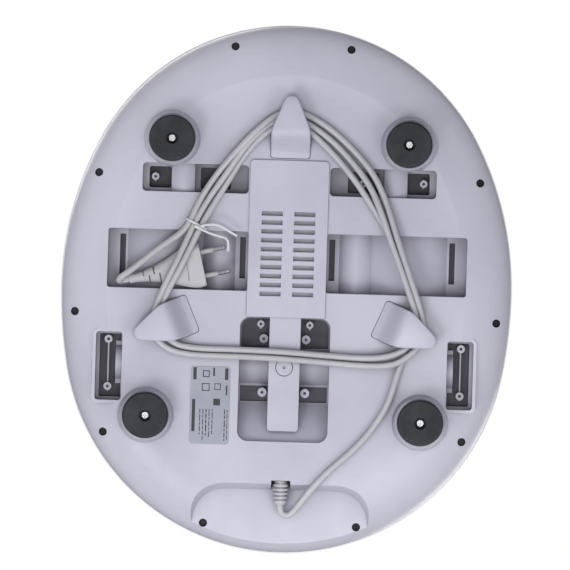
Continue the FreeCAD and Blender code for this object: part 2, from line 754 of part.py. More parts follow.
# ---------------------------------------------------------------- cord hooks
def hook_plan(height):
    """The hook from below: straight sides, rounded shoulders and a round tip."""
    half = size("hook_base_width") / 2 - size("gap")
    reach = size("hook_reach")
    shoulder = size("hook_shoulder")
    tip = size("hook_tip_radius")
    taper = 0.41
    touch = V(reach - tip + tip * math.sin(taper), tip * math.cos(taper), height)
    run = touch.x - shoulder
    neck = V(shoulder + 0.5 * run, touch.y + 0.5 * run * math.tan(taper), height)
    bulge = V(shoulder + 0.27 * run, half - 0.27 * (half - neck.y), height)
    start = V(0, half, height)
    turn = V(shoulder, half, height)

    def across(point):
        return V(point.x, -point.y, point.z)

    return Part.Wire([
        Part.makeLine(across(start), start),
        Part.makeLine(start, turn),
        Part.Arc(turn, bulge, neck).toShape(),
        Part.makeLine(neck, touch),
        Part.Arc(touch, V(reach, 0, height), across(touch)).toShape(),
        Part.makeLine(across(touch), across(neck)),
        Part.Arc(across(neck), across(bulge), across(turn)).toShape(),
        Part.makeLine(across(turn), across(start)),
    ])


def cord_hook():
    """A hook in its own frame: X runs from the base edge to the tip, Z is up to the shell."""
    reach = size("hook_reach")
    drop = -size("hook_drop")
    inner = drop + size("hook_thickness")
    base = size("hook_base_length")
    width = size("hook_base_width")
    crease = size("hook_shoulder") - 2.5

    slope = Part.Arc(V(4, 0, 0), V(11, 0, drop * 0.47), V(crease, 0, drop)).toShape()
    corners = [V(crease, 0, drop), V(reach - 2, 0, drop + 0.4), V(reach, 0, drop + 2),
               V(reach, 0, inner), V(base + 2, 0, inner), V(base - 0.6, 0, inner + 2.4),
               V(base - 0.6, 0, 0.2), V(4, 0, 0)]
    side = Part.Wire([slope] + [Part.makeLine(a, b) for a, b in zip(corners, corners[1:])])
    bar = Part.Face(side).extrude(V(0, 2 * width, 0))
    bar.translate(V(0, -width, 0))
    tongue = bar.common(Part.Face(hook_plan(drop - 1)).extrude(V(0, 0, 40)))

    # The cord lies against a neck that narrows behind the tongue.
    half = width / 2
    neck_half = size("hook_neck_width") / 2
    beside = [V(crease - 2, half, inner), V(crease + 2.2, neck_half + 3.4, inner),
              V(base - 0.6, neck_half, inner), V(reach + 5, neck_half, inner),
              V(reach + 5, 40, inner), V(crease - 2, 40, inner)]
    notch = prism(beside, V(0, 0, -inner - 0.05))
    tongue = tongue.cut([notch, notch.mirror(V(0, 0, 0), V(0, 1, 0))])
    plate = soft_block(0, base, -half, half, -0.05, size("wall") + 2, 3)
    return tongue.fuse(plate).removeSplitter()


# ---------------------------------------------------------------- cord, coil and plug
COIL_BOTTOM = 10.4
LEAD_ROUTE = [
    (0, 167.5, 27.4), (0, 172.2, 27.4), (3.3, 175.4, 27.2), (8, 175, 26.6), (13.6, 168, 23.6),
    (21.6, 157, 17.6), (31, 145.8, 16.2), (40.5, 136.2, 16), (51, 127, 16.4), (63, 114.6, 16.7),
    (74.5, 99, 16.6), (82.6, 83.5, 16.3), (87.8, 62.5, 16.1),
]
TAIL_ROUTE = [
    (-82, -41.8, 15), (-94, -33.4, 13.8), (-107, -23.2, 12.2), (-119, -13, 11.5),
    (-130.2, -4.6, 11.5), (-129.2, -2.572, 22.7), (-122, -4.3, 22.7),
]
# The middle lines of the outermost and the innermost strand of the cord wound on the hooks.
OUTER_STRAND = [
    (99, 49), (104.8, 34), (104, 16.5), (99.8, -0.5), (92.5, -21), (81.8, -45.2), (73.4, -70.9),
    (63.8, -90.4), (50.4, -106), (31.4, -124.4), (14, -134.8), (0, -137.6), (-14, -133.6),
    (-27, -121), (-40, -106), (-52, -92), (-62.5, -78), (-70, -62), (-77.5, -44), (-87.8, -22),
    (-95, -8), (-99.8, 6), (-102.2, 20), (-102, 35), (-96.5, 47.5), (-86, 54), (-72, 56),
    (-36, 56), (0, 56.8), (38, 60), (68, 61.6), (88, 59),
]
INNER_STRAND = [
    (87, 49), (97.6, 31), (97.2, 15), (91.5, -3), (82.6, -22), (71.5, -45), (62, -64),
    (50, -81.5), (38.5, -96.5), (28, -108.8), (14.6, -123.6), (0, -128), (-14, -124.4),
    (-26, -112), (-37.5, -97), (-47.5, -82), (-57, -66), (-66.5, -47.5), (-77, -25),
    (-85, -10), (-92.2, 4), (-97.4, 18), (-98.2, 31), (-88, 45), (-72, 47.5), (-36, 47.2),
    (0, 48), (40, 51.2), (68, 52.6),
]


def tangent_path(points, name):
    """Straight runs joined by tangent arcs, and the radius of each arc."""
    points = [V(*point) for point in points]
    edges = []
    radii = []
    start = points[0]
    for before, corner, after in zip(points, points[1:], points[2:]):
        towards = corner - before
        away = after - corner
        turn = towards.getAngle(away)
        run = 0.45 * min(towards.Length, away.Length)
        radii.append(run / math.tan(turn / 2))
        towards.normalize()
        away.normalize()
        enter = corner - towards * run
        leave = corner + away * run
        middle = corner + (away - towards).normalize() * (radii[-1] / math.cos(turn / 2) - radii[-1])
        edges.append(Part.LineSegment(start, enter).toShape())
        edges.append(Part.Arc(enter, middle, leave).toShape())
        start = leave
    edges.append(Part.LineSegment(start, points[-1]).toShape())
    print(name, "radii", " ".join("%.1f" % radius for radius in radii))
    return Part.Wire(edges)


def cord_tube(points, radius, name):
    path = tangent_path(points, name)
    first = path.Edges[0]
    start = first.valueAt(first.FirstParameter)
    ring = Part.Wire(Part.makeCircle(radius, start, first.tangentAt(first.FirstParameter)))
    tube = path.makePipeShell([ring], True, False)
    wanted = math.pi * radius ** 2 * path.Length
    print(name, "length %.1f, volume ratio %.4f" % (path.Length, tube.Volume / wanted))
    return tube


def strand_outline(strand, outwards, height):
    """A smooth closed line beside a closed strand."""
    count = len(strand)
    moved = []
    for i, (x, y) in enumerate(strand):
        before = strand[i - 1]
        after = strand[(i + 1) % count]
        run = math.hypot(after[0] - before[0], after[1] - before[1])
        across = (after[1] - before[1]) / run
        along = -(after[0] - before[0]) / run
        moved.append(V(x - outwards * across, y - outwards * along, height))
    curve = Part.BSplineCurve()
    curve.interpolate(moved, PeriodicFlag=True)
    return Part.Wire(curve.toShape())


def make_coil():
    """The band that the wound cord fills, between the underside and the hooks' tongues."""
    half = size("cord_diameter") / 2
    bottom = COIL_BOTTOM
    top = size("plateau_height") - 0.3
    outer = Part.Face(strand_outline(OUTER_STRAND, half + 0.2, bottom))
    inner = Part.Face(strand_outline(INNER_STRAND, -half - 0.2, bottom))
    band = outer.cut(inner).extrude(V(0, 0, top - bottom))
    platform_clear = block(-31.5, 31.5, -101, 60, 0, size("plateau_height") + 1)
    raised = platform_clear.common(block(-40, 40, -110, 25, size("plateau_height")
                                         - size("platform_drop") - 0.3, 60))
    beside_plug = on_plug(block(-3, size("plug_length") + 2, -19, 19, -size("plug_depth") / 2 - 0.4,
                                20))
    return band.cut([raised, beside_plug])


PLUG_PLACE = (-122, -4.3, 22.7)
PLUG_ANGLE = -13.5


def rounded_section(width, depth, along):
    """A rounded oblong across the plug's axis, of four lines and four arcs."""
    corner = min(width, depth) * 0.46
    half_w, half_d = width / 2 - corner, depth / 2 - corner
    edges = []
    centres = [(half_w, half_d, 0), (-half_w, half_d, 90), (-half_w, -half_d, 180),
               (half_w, -half_d, 270)]
    spots = []
    for cy, cz, start in centres:
        row = []
        for degrees in (start, start + 45, start + 90):
            angle = math.radians(degrees)
            row.append(V(along, cy + corner * math.cos(angle), cz + corner * math.sin(angle)))
        spots.append(row)
    for i, row in enumerate(spots):
        edges.append(Part.Arc(*row).toShape())
        edges.append(Part.makeLine(row[2], spots[(i + 1) % 4][0]))
    return Part.Wire(edges)


def make_plug():
    """A flat two-pin plug: X runs from the cord end to the pin face."""
    length = size("plug_length")
    width = size("plug_width")
    depth = size("plug_depth")
    cord = size("cord_diameter")
    stations = [rounded_section(cord + 2, cord + 1.6, 0),
                rounded_section(cord + 3.6, cord + 3, length * 0.2),
                rounded_section(width * 0.46, depth * 0.78, length * 0.45),
                rounded_section(width * 0.8, depth * 0.95, length * 0.7),
                rounded_section(width, depth, length * 0.9),
                rounded_section(width - 1.4, depth - 0.8, length)]
    body = Part.makeLoft(stations, True, False)
    # Staggered slits let the sleeve bend.
    notches = []
    for step in range(4):
        start = 11 + 4.2 * step
        side = 1 if step % 2 else -1
        slit = block(start, start + 1.1, 0, 12, -12, 12)
        core = block(start - 1, start + 3, -12, 2.6 + 0.5 * step, -2.8, 2.8)
        slit = slit.cut(core)
        notches.append(slit if side > 0 else slit.mirror(V(0, 0, 0), V(0, 1, 0)))
    grip = Part.makeCylinder(60, 40, V(length - 11.5, 0, -20), V(0, 0, 1))
    grip = grip.cut(Part.makeCylinder(59.2, 42, V(length - 11.5, 0, -21), V(0, 0, 1)))
    grip.translate(V(-60, 0, 0))
    shoulder = rounded_section(width - 1.4, depth - 1.2, length - 14)
    kept = Part.Face(shoulder).extrude(V(16, 0, 0))
    notches.append(grip.cut(kept).common(block(length - 20, length - 8, -30, 30, -20, 20)))
    holes = []
    for side in (-1, 1):
        holes.append(Part.makeCylinder(size("pin_radius"), 8,
                                       V(length - 6, side * size("pin_spacing") / 2, 0),
                                       V(1, 0, 0)))
    return body.cut(notches + holes)


def plug_pin_pair(start, end, radius):
    """Two rods beside each other on the plug's axis, their outer ends domed."""
    rods = []
    for side in (-1, 1):
        base = V(start, side * size("pin_spacing") / 2, 0)
        rod = Part.makeCylinder(radius, end - start, base, V(1, 0, 0))
        rods.append(rod)
    return rods


def on_plug(shape):
    placed = shape.copy()
    placed.rotate(V(0, 0, 0), V(0, 0, 1), PLUG_ANGLE)
    placed.translate(V(*PLUG_PLACE))
    return placed


# ---------------------------------------------------------------- gears
def gear_solid(teeth, bore, hub_radius, hub_top):
    """A spur gear with straight-flanked teeth, its first tooth on +X."""
    module = size("gear_module")
    pitch = teeth * module / 2
    bottom = size("gear_height")
    rings = [(pitch - 1.25 * module, 0.345), (pitch, 0.215), (pitch + 0.9 * module, 0.105)]
    points = []
    for tooth in range(teeth):
        middle = 2 * math.pi * tooth / teeth
        share = 2 * math.pi / teeth
        flank = [(radius, middle - width * share) for radius, width in rings]
        flank += [(radius, middle + width * share) for radius, width in reversed(rings)]
        points += [V(r * math.cos(a), r * math.sin(a), bottom) for r, a in flank]
    blank = prism(points, V(0, 0, size("gear_width")))
    if hub_top > bottom + size("gear_width"):
        blank = blank.fuse(upright(hub_radius, bottom, hub_top))
    if bore > 0:
        blank = blank.cut(upright(bore, bottom - 1, hub_top + 1))
    return blank


def lighten(gear, hub_radius, rim_radius):
    """Thin the web of a big gear between its hub and its rim."""
    low = size("gear_height")
    high = low + size("gear_width")
    ring = upright(rim_radius, high - 2, high + 1).cut(upright(hub_radius, low, high + 2))
    under = upright(rim_radius, low - 1, low + 1.5).cut(upright(hub_radius, low - 1, high))
    return gear.cut([ring, under])


def mesh_turn(driver_turn, driver_teeth, direction, teeth):
    """The turn that brings a gear into mesh with its driver, which lies the other way."""
    phase = (direction - driver_turn) * driver_teeth / 360.0
    return direction + 180 - (0.5 - phase) * 360.0 / teeth


# ---------------------------------------------------------------- build: shells
fixed_shape("lower_housing", make_lower_shell())
fixed_shape("upper_housing", make_upper_shell())

# ---------------------------------------------------------------- build: feet and screws
for corner_name, (foot_x, foot_y) in FEET.items():
    side = "-" if foot_x < 0 else ""
    row_name = "front" if foot_y < 0 else "back"
    row_sign = "-" if foot_y < 0 else ""
    foot = turned_body("foot_" + corner_name, [
        ("foot_bore", "0"),
        ("foot_radius - foot_edge", "0"),
        ("foot_radius", "foot_edge"),
        ("foot_radius", "seat_height + foot_recess"),
        ("foot_screw_radius", "seat_height + foot_recess"),
        ("foot_screw_radius", "foot_bore_depth"),
        ("foot_bore", "foot_bore_depth"),
    ])
    set_place(foot, side + row_name + "_feet_x", row_sign + row_name + "_feet_y")
    keep("foot_" + corner_name, foot)


def screw_form(name, head, shank, length, seat):
    """A screw with its head below its seat, as a turned body that is copied."""
    return turned_body(name, [
        ("0", seat + " - screw_head_height"),
        (head + " - 0.5", seat + " - screw_head_height"),
        (head, seat + " - screw_head_height + 0.6"),
        (head, seat),
        (shank, seat),
        (shank, seat + " + " + length),
        ("0", seat + " + " + length + " + 1"),
    ])


foot_screw = screw_form("foot_screw_form", "foot_screw_head", "foot_screw_radius",
                        "foot_screw_length", "foot_bore_depth")
rim_screw = screw_form("rim_screw_form", "rim_screw_head", "rim_screw_radius",
                       "rim_screw_length", "rim_screw_seat")
doc.recompute()


def crossed(screw, head, seat):
    """The screw with a cross recess in its head."""
    face = size(seat) - size("screw_head_height")
    reach = 0.62 * size(head)
    bars = [block(-reach, reach, -0.45, 0.45, face - 1, face + 1.4),
            block(-0.45, 0.45, -reach, reach, face - 1, face + 1.4)]
    return screw.Shape.cut(bars)


foot_screw = crossed(foot_screw, "foot_screw_head", "foot_bore_depth")
rim_screw = crossed(rim_screw, "rim_screw_head", "rim_screw_seat")
fixed_shape("foot_screws", Part.makeCompound([put(foot_screw, x, y) for x, y in FEET.values()]))
fixed_shape("housing_screws", Part.makeCompound([put(rim_screw, x, y) for x, y in RIM_SCREWS]))

# ---------------------------------------------------------------- build: hooks, plate, cord
hook = cord_hook()
for hook_name, (hook_x, hook_y, degrees) in HOOKS.items():
    fixed_shape("cord_hook_" + hook_name, put(hook, hook_x, hook_y, degrees, size("plateau_height")))

plate = raised_body("rating_plate",
                    rectangle("0 - plate_width / 2", "plate_width / 2",
                              "0 - plate_length / 2", "plate_length / 2"),
                    "plateau_height - plate_thickness", "plate_thickness")
doc.recompute()
plate_pad = doc.getObject("rating_plate_pad")
upright_edges = ["Edge%d" % (i + 1) for i, edge in enumerate(plate_pad.Shape.Edges)
                 if edge.BoundBox.XLength < 0.01 and edge.BoundBox.YLength < 0.01]
rounding = plate.newObject("PartDesign::Fillet", "rating_plate_corners")
rounding.Base = (plate_pad, upright_edges)
rounding.Radius = 2.3
keep("rating_plate", set_place(plate, "plate_x", "plate_y"))

# The strain relief is turned about its own axis, then laid along +Y through the bay's wall.
RIBS = 4
RELIEF_STUB = "relief_height - plateau_height - wall - gap"
relief_profile = [("0", "0 - wall - 3.2"), (RELIEF_STUB, "0 - wall - 3.2"),
                  (RELIEF_STUB, "0.2 - wall"), ("relief_radius - 1", "0.2 - wall"),
                  ("relief_radius - 1", "0.2"), ("relief_radius", "0.2"), ("relief_radius", "2")]
for rib in range(RIBS):
    start = "2 + (relief_length - 4) * %d / %d" % (2 * rib, 2 * RIBS)
    end = "2 + (relief_length - 4) * %d / %d" % (2 * rib + 1, 2 * RIBS)
    narrow = "relief_radius - 1.5 - %.2f" % (0.3 * rib)
    wide = "relief_radius - %.2f" % (0.35 * (rib + 1))
    relief_profile += [(narrow, start), (narrow, end), (wide, end),
                       (wide, "2 + (relief_length - 4) * %d / %d" % (2 * rib + 2, 2 * RIBS))]
relief_profile += [("cord_diameter / 2 + 0.5", "relief_length"), ("0", "relief_length")]
relief = turned_body("strain_relief", relief_profile)
relief.Placement.Rotation = FreeCAD.Rotation(V(1, 0, 0), -90)
keep("strain_relief", set_place(relief, "0", "bay_edge", "relief_height"))

cord_radius = size("cord_diameter") / 2
fixed_shape("power_cord_lead", cord_tube(LEAD_ROUTE, cord_radius, "lead"))
fixed_shape("power_cord_coil", make_coil())
fixed_shape("power_cord_tail", cord_tube(TAIL_ROUTE, cord_radius, "tail"))
plug_end = size("plug_length")
fixed_shape("plug_body", on_plug(make_plug()))
metal = plug_pin_pair(plug_end - 6, plug_end + size("pin_length"), size("pin_radius") - 0.35)
tips = [Part.makeCylinder(size("pin_radius"), 8.4, V(plug_end + size("pin_length") - 8.9,
                          side * size("pin_spacing") / 2, 0), V(1, 0, 0)) for side in (-1, 1)]
domes = [Part.makeSphere(size("pin_radius"), V(plug_end + size("pin_length") - 0.5,
         side * size("pin_spacing") / 2, 0)) for side in (-1, 1)]
pins = [rod.fuse([tip, dome]) for rod, tip, dome in zip(metal, tips, domes)]
fixed_shape("plug_pins", on_plug(Part.makeCompound(pins)))
sleeves = [rod.cut(core) for rod, core in
           zip(plug_pin_pair(plug_end, plug_end + size("pin_length") - 8.9, size("pin_radius")),
               metal)]
fixed_shape("pin_sleeves", on_plug(Part.makeCompound(sleeves)))

# The twist tie holds the plug's end of the cord against the wound strands.
TIE_PLACE = (-72.4, -46.4)
TIE_ANGLE = -62.0


def make_tie():
    """A flat wire tie: a band round three strands, a twisted knot and two free ends."""
    low = COIL_BOTTOM
    high = size("plateau_height")
    outer = soft_block(-12.5, 12.5, -1.6, 1.6, low - 1.4, high - 0.1, 1)
    inner = block(-11.6, 11.6, -3, 3, low - 0.3, high + 2)
    lid = block(-11.6, 11.6, -1.6, 1.6, low - 1.4, low - 0.3)
    band = outer.cut(inner).fuse(lid)
    knot = Part.makeSphere(2.1, V(0, 0, low - 2.4))
    ends = []
    for turn, length in ((35, 22), (-28, 25)):
        strip = block(0, length, -0.9, 0.9, low - 3.2, low - 2.2)
        ends.append(put(strip, 0, 0, turn))
    return joined([band, knot] + ends)


fixed_shape("twist_tie", put(make_tie(), TIE_PLACE[0], TIE_PLACE[1], TIE_ANGLE + 90))

# ---------------------------------------------------------------- build: chassis
DISC_ROWS = {"front": -size("disc_spacing"), "middle": 0.0, "back": size("disc_spacing")}
IDLER_X = (size("pinion_teeth") + size("idler_teeth")) * size("gear_module") / 2


def make_chassis():
    """The plate between the shells, with hollow posts over the windows of the underside."""
    low = size("chassis_height")
    high = low + size("chassis_thickness")
    plate = oval_slab(size("chassis_inset"), low, high)
    wells = []
    for across, along in RIM_SCREWS:
        wells.append(upright(size("well_radius") + size("well_wall") + 1.5, low - 1, high + 1,
                             across, along))
    posts = []
    drills = []
    for across, along, radius in POSTS:
        posts.append(upright(radius, low - 13, low + 0.5, across, along))
        posts.append(block(across - 0.6, across + 0.6, along - 3.8, along + 3.8, low - 7, low + 0.5))
        drills.append(upright(1.1, low - 14, low - 3, across, along))
    posts.append(block(136.3, 137.5, 42, 79, low - 7, low + 0.5))
    posts, drills = both_sides(posts), both_sides(drills)
    opening = block(-26, 26, -62, -18, low - 1, high + 1)
    relief = block(-22, 22, 96, 128, low - 1, high + 1)
    return plate.fuse(posts).cut(wells + drills + [opening, relief]).removeSplitter()


fixed_shape("chassis_plate", make_chassis())
pin_top = size("disc_height") + size("disc_thickness")
pin_low = size("chassis_height")
axles = [upright(size("axle_radius"), pin_low - 2, pin_top, sign * size("disc_x"), along)
         for along in DISC_ROWS.values() for sign in (-1, 1)]
axles += [upright(size("axle_radius"), pin_low - 2, size("gear_height") + size("gear_width") + 1,
                  sign * IDLER_X, 0) for sign in (-1, 1)]
chassis = parts["chassis_plate"]
chassis.Shape = chassis.Shape.cut(axles)
fixed_shape("axle_pins", Part.makeCompound(axles))
chassis_screw_places = [(sign * x, y) for x, y in CHASSIS_POSTS for sign in (-1, 1)]
chassis_screw_up = size("chassis_height") + size("chassis_thickness")


def chassis_screw(across, along):
    """A screw pressed down through the chassis plate into its post."""
    shank = upright(1.6, chassis_screw_up - 12, chassis_screw_up, across, along)
    head = upright(3.4, chassis_screw_up, chassis_screw_up + 2, across, along)
    slot = block(across - 0.5, across + 0.5, along - 2.2, along + 2.2, chassis_screw_up + 1,
                 chassis_screw_up + 3)
    return shank.fuse(head).cut(slot)


drill_holes = [upright(1.6, chassis_screw_up - 13, chassis_screw_up + 1, x, y)
               for x, y in chassis_screw_places]
chassis.Shape = chassis.Shape.cut(drill_holes)
lower = parts["lower_housing"]
lower.Shape = lower.Shape.cut(drill_holes)
fixed_shape("chassis_screws", Part.makeCompound([chassis_screw(x, y)
                                                 for x, y in chassis_screw_places]))

# ---------------------------------------------------------------- build: massage discs
NODES_PER_DISC = 3
disc_teeth = int(size("disc_spacing") / size("gear_module"))
pinion_teeth = int(size("pinion_teeth"))
idler_teeth = int(size("idler_teeth"))
bore = size("axle_radius") + size("running_gap")
hub_radius = 7.5
disc_gear_form = lighten(gear_solid(disc_teeth, bore, hub_radius, size("disc_height")), hub_radius,
                         size("disc_spacing") / 2 - 6)
idler_form = gear_solid(idler_teeth, bore, 6, size("gear_height") + size("gear_width"))


def massage_disc(name, turn):
    """A disc with a bored hub and three domed nodes spaced evenly round it."""
    disc = turned_body(name, [
        ("axle_radius + running_gap", "disc_height"),
        ("disc_radius - 1.5", "disc_height"),
        ("disc_radius", "disc_height + 1.5"),
        ("disc_radius", "disc_height + disc_thickness"),
        ("axle_radius + 4", "disc_height + disc_thickness"),
        ("axle_radius + 2.5", "disc_height + disc_thickness + 2"),
        ("axle_radius + running_gap", "disc_height + disc_thickness + 2"),
    ])
    dome = polygon_sketch(disc, name + "_node", "XZ_Plane", [
        ("node_circle", "disc_height + 1"),
        ("node_circle + node_radius", "disc_height + 1"),
        ("node_circle + node_radius", "node_top - node_radius"),
        ("node_circle + node_radius * 0.924", "node_top - node_radius * 0.617"),
        ("node_circle + node_radius * 0.707", "node_top - node_radius * 0.293"),
        ("node_circle + node_radius * 0.383", "node_top - node_radius * 0.076"),
        ("node_circle", "node_top"),
    ])
    node = disc.newObject("PartDesign::Revolution", name + "_dome")
    node.Profile = dome
    middle = dome.addGeometry(Part.LineSegment(V(size("node_circle"), 0, 0),
                                               V(size("node_circle"), 10, 0)), True)
    dome.addConstraint(Sketcher.Constraint("Vertical", middle))
    dome.addConstraint(Sketcher.Constraint("PointOnObject", middle, 1, -1))
    across = dome.addConstraint(Sketcher.Constraint("DistanceX", -1, 1, middle, 1,
                                                    size("node_circle")))
    dome.setExpression("Constraints[%d]" % across, "Sizes.node_circle")
    reach = dome.addConstraint(Sketcher.Constraint("DistanceY", middle, 1, middle, 2, 10))
    dome.setExpression("Constraints[%d]" % reach, "Sizes.disc_thickness + 7")
    node.ReferenceAxis = (dome, ["Axis0"])
    node.Angle = 360
    ring = disc.newObject("PartDesign::PolarPattern", name + "_nodes")
    ring.Originals = [node]
    ring.Axis = (origin_feature(disc, "Z_Axis"), [""])
    ring.Angle = 360
    ring.Occurrences = NODES_PER_DISC
    disc.Tip = ring
    disc.Placement.Rotation = FreeCAD.Rotation(V(0, 0, 1), turn)
    return disc


pinion_turn = 0.0
for side, sign, direction in (("left", -1, 180.0), ("right", 1, 0.0)):
    idler_turn = mesh_turn(pinion_turn, pinion_teeth, direction, idler_teeth)
    fixed_shape("idler_gear_" + side, put(idler_form, sign * IDLER_X, 0, idler_turn))
    middle_turn = mesh_turn(idler_turn, idler_teeth, direction, disc_teeth)
    turns = {
        "front": mesh_turn(middle_turn, disc_teeth, -90.0, disc_teeth),
        "middle": middle_turn,
        "back": mesh_turn(middle_turn, disc_teeth, 90.0, disc_teeth),
    }
    for row_name, along in DISC_ROWS.items():
        label = side + "_" + row_name
        fixed_shape("disc_gear_" + label,
                    put(disc_gear_form, sign * size("disc_x"), along, turns[row_name]))
        disc = massage_disc("massage_disc_" + label, 30.0 * sign + (60 if along else 0))
        keep("massage_disc_" + label,
             set_place(disc, ("-" if sign < 0 else "") + "disc_x",
                       {"front": "0 - disc_spacing", "middle": "0", "back": "disc_spacing"}[row_name]))

# ---------------------------------------------------------------- build: motor
SHAFT_RADIUS = 4.0
pinion = gear_solid(pinion_teeth, 0, SHAFT_RADIUS, size("bracket_height") + 5)
fixed_shape("output_pinion", pinion)
bracket_low = size("bracket_height")
bracket_plate = block(-19, 19, -30, 30, bracket_low, bracket_low + 2)
legs = [block(-12, 12, low, low + 2.5, chassis_screw_up, bracket_low) for low in (-30, 27.5)]
feet_tabs = [block(-12, 12, low, low + 8, chassis_screw_up, chassis_screw_up + 2)
             for low in (-38, 30)]
bracket = joined([bracket_plate] + legs + feet_tabs)
fixed_shape("motor_bracket", bracket.cut(upright(SHAFT_RADIUS + 2, bracket_low - 1,
                                                 bracket_low + 4)))
gearhead = doc.addObject("Part::Cylinder", "gearhead_case")
gearhead.setExpression("Radius", "Sizes.motor_radius")
gearhead.setExpression("Height", "Sizes.gearhead_height")
gearhead.setExpression("Placement.Base.z", "Sizes.bracket_height + 2")
shaft_hole = doc.addObject("Part::Cylinder", "gearhead_bore")
shaft_hole.Radius = SHAFT_RADIUS + size("running_gap")
shaft_hole.Height = 4
shaft_hole.setExpression("Placement.Base.z", "Sizes.bracket_height + 1.5")
gearbox = doc.addObject("Part::Cut", "motor_gearbox")
gearbox.Base = gearhead
gearbox.Tool = shaft_hole
keep("motor_gearbox", gearbox)
motor = turned_body("drive_motor", [
    ("0", "bracket_height + 2 + gearhead_height"),
    ("motor_radius - 1", "bracket_height + 2 + gearhead_height"),
    ("motor_radius - 1", "motor_top - 4"),
    ("motor_radius - 3", "motor_top - 2"),
    ("4", "motor_top - 2"),
    ("4", "motor_top"),
    ("0", "motor_top"),
])
keep("drive_motor", motor)

# ---------------------------------------------------------------- build: foot covers
cover_low = size("cover_height")
fixed_shape("foot_cover_right", foot_well(-1, cover_low, cover_low + size("cover_thickness")))
fixed_shape("foot_cover_left", mirrored(parts["foot_cover_right"].Shape))
frame_low = size("foot_well_floor") + size("wall") + 0.3
frame_ring = foot_well(-1, frame_low, cover_low - 0.2)
frame_ring = frame_ring.cut(foot_well(-size("frame_width"), frame_low - 1, cover_low + 1))
fixed_shape("cover_frame_right", frame_ring)
fixed_shape("cover_frame_left", mirrored(frame_ring))

# ---------------------------------------------------------------- build: button
button = turned_body("power_button", [
    ("0", "crown_height - 16.4"),
    ("button_radius + 2", "crown_height - 16.4"),
    ("button_radius + 2", "crown_height - 14.8"),
    ("button_radius", "crown_height - 14.8"),
    ("button_radius", "crown_height - 0.4"),
    ("button_radius - 1.2", "crown_height + 0.8"),
    ("0", "crown_height + 0.2"),
])
button.Placement = CROWN_FRAME
keep("power_button", button)
bezel = turned_body("button_bezel", [
    ("button_radius + 0.4", "crown_height - 11"),
    ("button_radius + 2.4", "crown_height - 11"),
    ("button_radius + 2.4", "crown_height"),
    ("button_radius + 5", "crown_height"),
    ("button_radius + 5", "crown_height + 0.8"),
    ("button_radius + 3.6", "crown_height + 1.6"),
    ("button_radius + 0.4", "crown_height + 1.6"),
])
bezel.Placement = CROWN_FRAME
keep("button_bezel", bezel)
switch_board = raised_body("switch_board", rectangle("0 - 16", "16", "0 - 21", "21"),
                           "crown_height - 23.6", "1.6")
switch_board.Placement = CROWN_FRAME
keep("switch_board", switch_board)
BOARD_UP = "crown_height - 22"
switch = raised_body("tact_switch", rectangle("0 - 5", "5", "0 - 5", "5"), BOARD_UP, "2")
switch.Placement = CROWN_FRAME
keep("tact_switch", switch)
dome = turned_body("switch_dome", [
    ("4", "crown_height - 19.9"),
    ("4.8", "crown_height - 19.9"),
    ("3", "crown_height - 16.5"),
    ("2.2", "crown_height - 16.5"),
])
dome.Placement = CROWN_FRAME
keep("switch_dome", dome)

# ---------------------------------------------------------------- build: electrics
tray = raised_body("board_tray", rectangle("0 - 26", "26", "0 - 66", "12"),
                   "plateau_height + wall + 2.4", "2")
keep("board_tray", tray)
board = raised_body("power_board", rectangle("0 - 24", "24", "0 - 64", "10"),
                    "plateau_height + wall + 7", "1.6")
keep("power_board", board)
board_up = size("plateau_height") + size("wall") + 8.6
standoffs = [upright(2.4, board_up - 4.2, board_up - 1.6, x, y) for x in (-20, 20) for y in (-60, 6)]
standoffs += [upright(2.4, size("plateau_height") + size("wall"), board_up - 6.2, x, y)
              for x in (-23.5, 23.5) for y in (-63.5, 9.5)]
fixed_shape("board_standoffs", Part.makeCompound(standoffs))
core = block(-15, 8, -56, -30, board_up, board_up + 9)
winding = soft_block(-11, 4, -60, -26, board_up, board_up + 11, 3)
fixed_shape("transformer", core.fuse(winding))
caps = [upright(4, board_up, board_up + 10, 15, -52), upright(3, board_up, board_up + 9, 15, -40),
        upright(3, board_up, board_up + 8, 15, -30)]
chips = [block(-18, -6, -18, -8, board_up, board_up + 3), block(4, 16, -14, -6, board_up, board_up + 8),
         block(-16, 16, 0, 6, board_up, board_up + 7)]
fixed_shape("board_components", Part.makeCompound(caps + chips))
lamp_places = [(sign * (size("disc_x") + 31), row * size("disc_spacing") / 2)
               for sign in (-1, 1) for row in (-1, 1)]
lamps = []
for across, along in lamp_places:
    stem = upright(5.2, chassis_screw_up, size("disc_height"), across, along)
    bulb = Part.makeSphere(4.6, V(across, along, size("disc_height") + 2))
    lamps.append(stem.fuse(bulb))
fixed_shape("heat_lamps", Part.makeCompound(lamps))
clamp_low = size("plateau_height") + size("wall")
clamp = block(-16, 16, 130, 140, clamp_low, size("relief_height") + 6)
lead_hole = Part.makeCylinder(cord_radius, 20, V(0, 120, size("relief_height")), V(0, 1, 0))
fixed_shape("cord_clamp", clamp.cut(lead_hole))
inner_lead = doc.addObject("Part::Cylinder", "inner_lead")
inner_lead.setExpression("Radius", "Sizes.cord_diameter / 2")
inner_lead.Height = 20
inner_lead.Placement.Rotation = FreeCAD.Rotation(V(1, 0, 0), -90)
keep("inner_lead", set_place(inner_lead, "0", "bay_edge - wall - 3.2 - 20", "relief_height"))

# ---------------------------------------------------------------- checks and export
doc.recompute()
for item in doc.Objects:
    if "Invalid" in item.State or "Error" in item.State:
        raise RuntimeError("%s did not compute: %s" % (item.Name, item.State))
os.makedirs("parts", exist_ok=True)
for name, item in parts.items():
    if item.Shape.isNull() or not item.Shape.isValid():
        raise RuntimeError("%s has no valid shape" % name)
for name, item in parts.items():
    item.Shape.exportStep("parts/%s.step" % name)
    print("%-22s solids %2d  volume %9.1f" % (name, len(item.Shape.Solids), item.Shape.Volume))
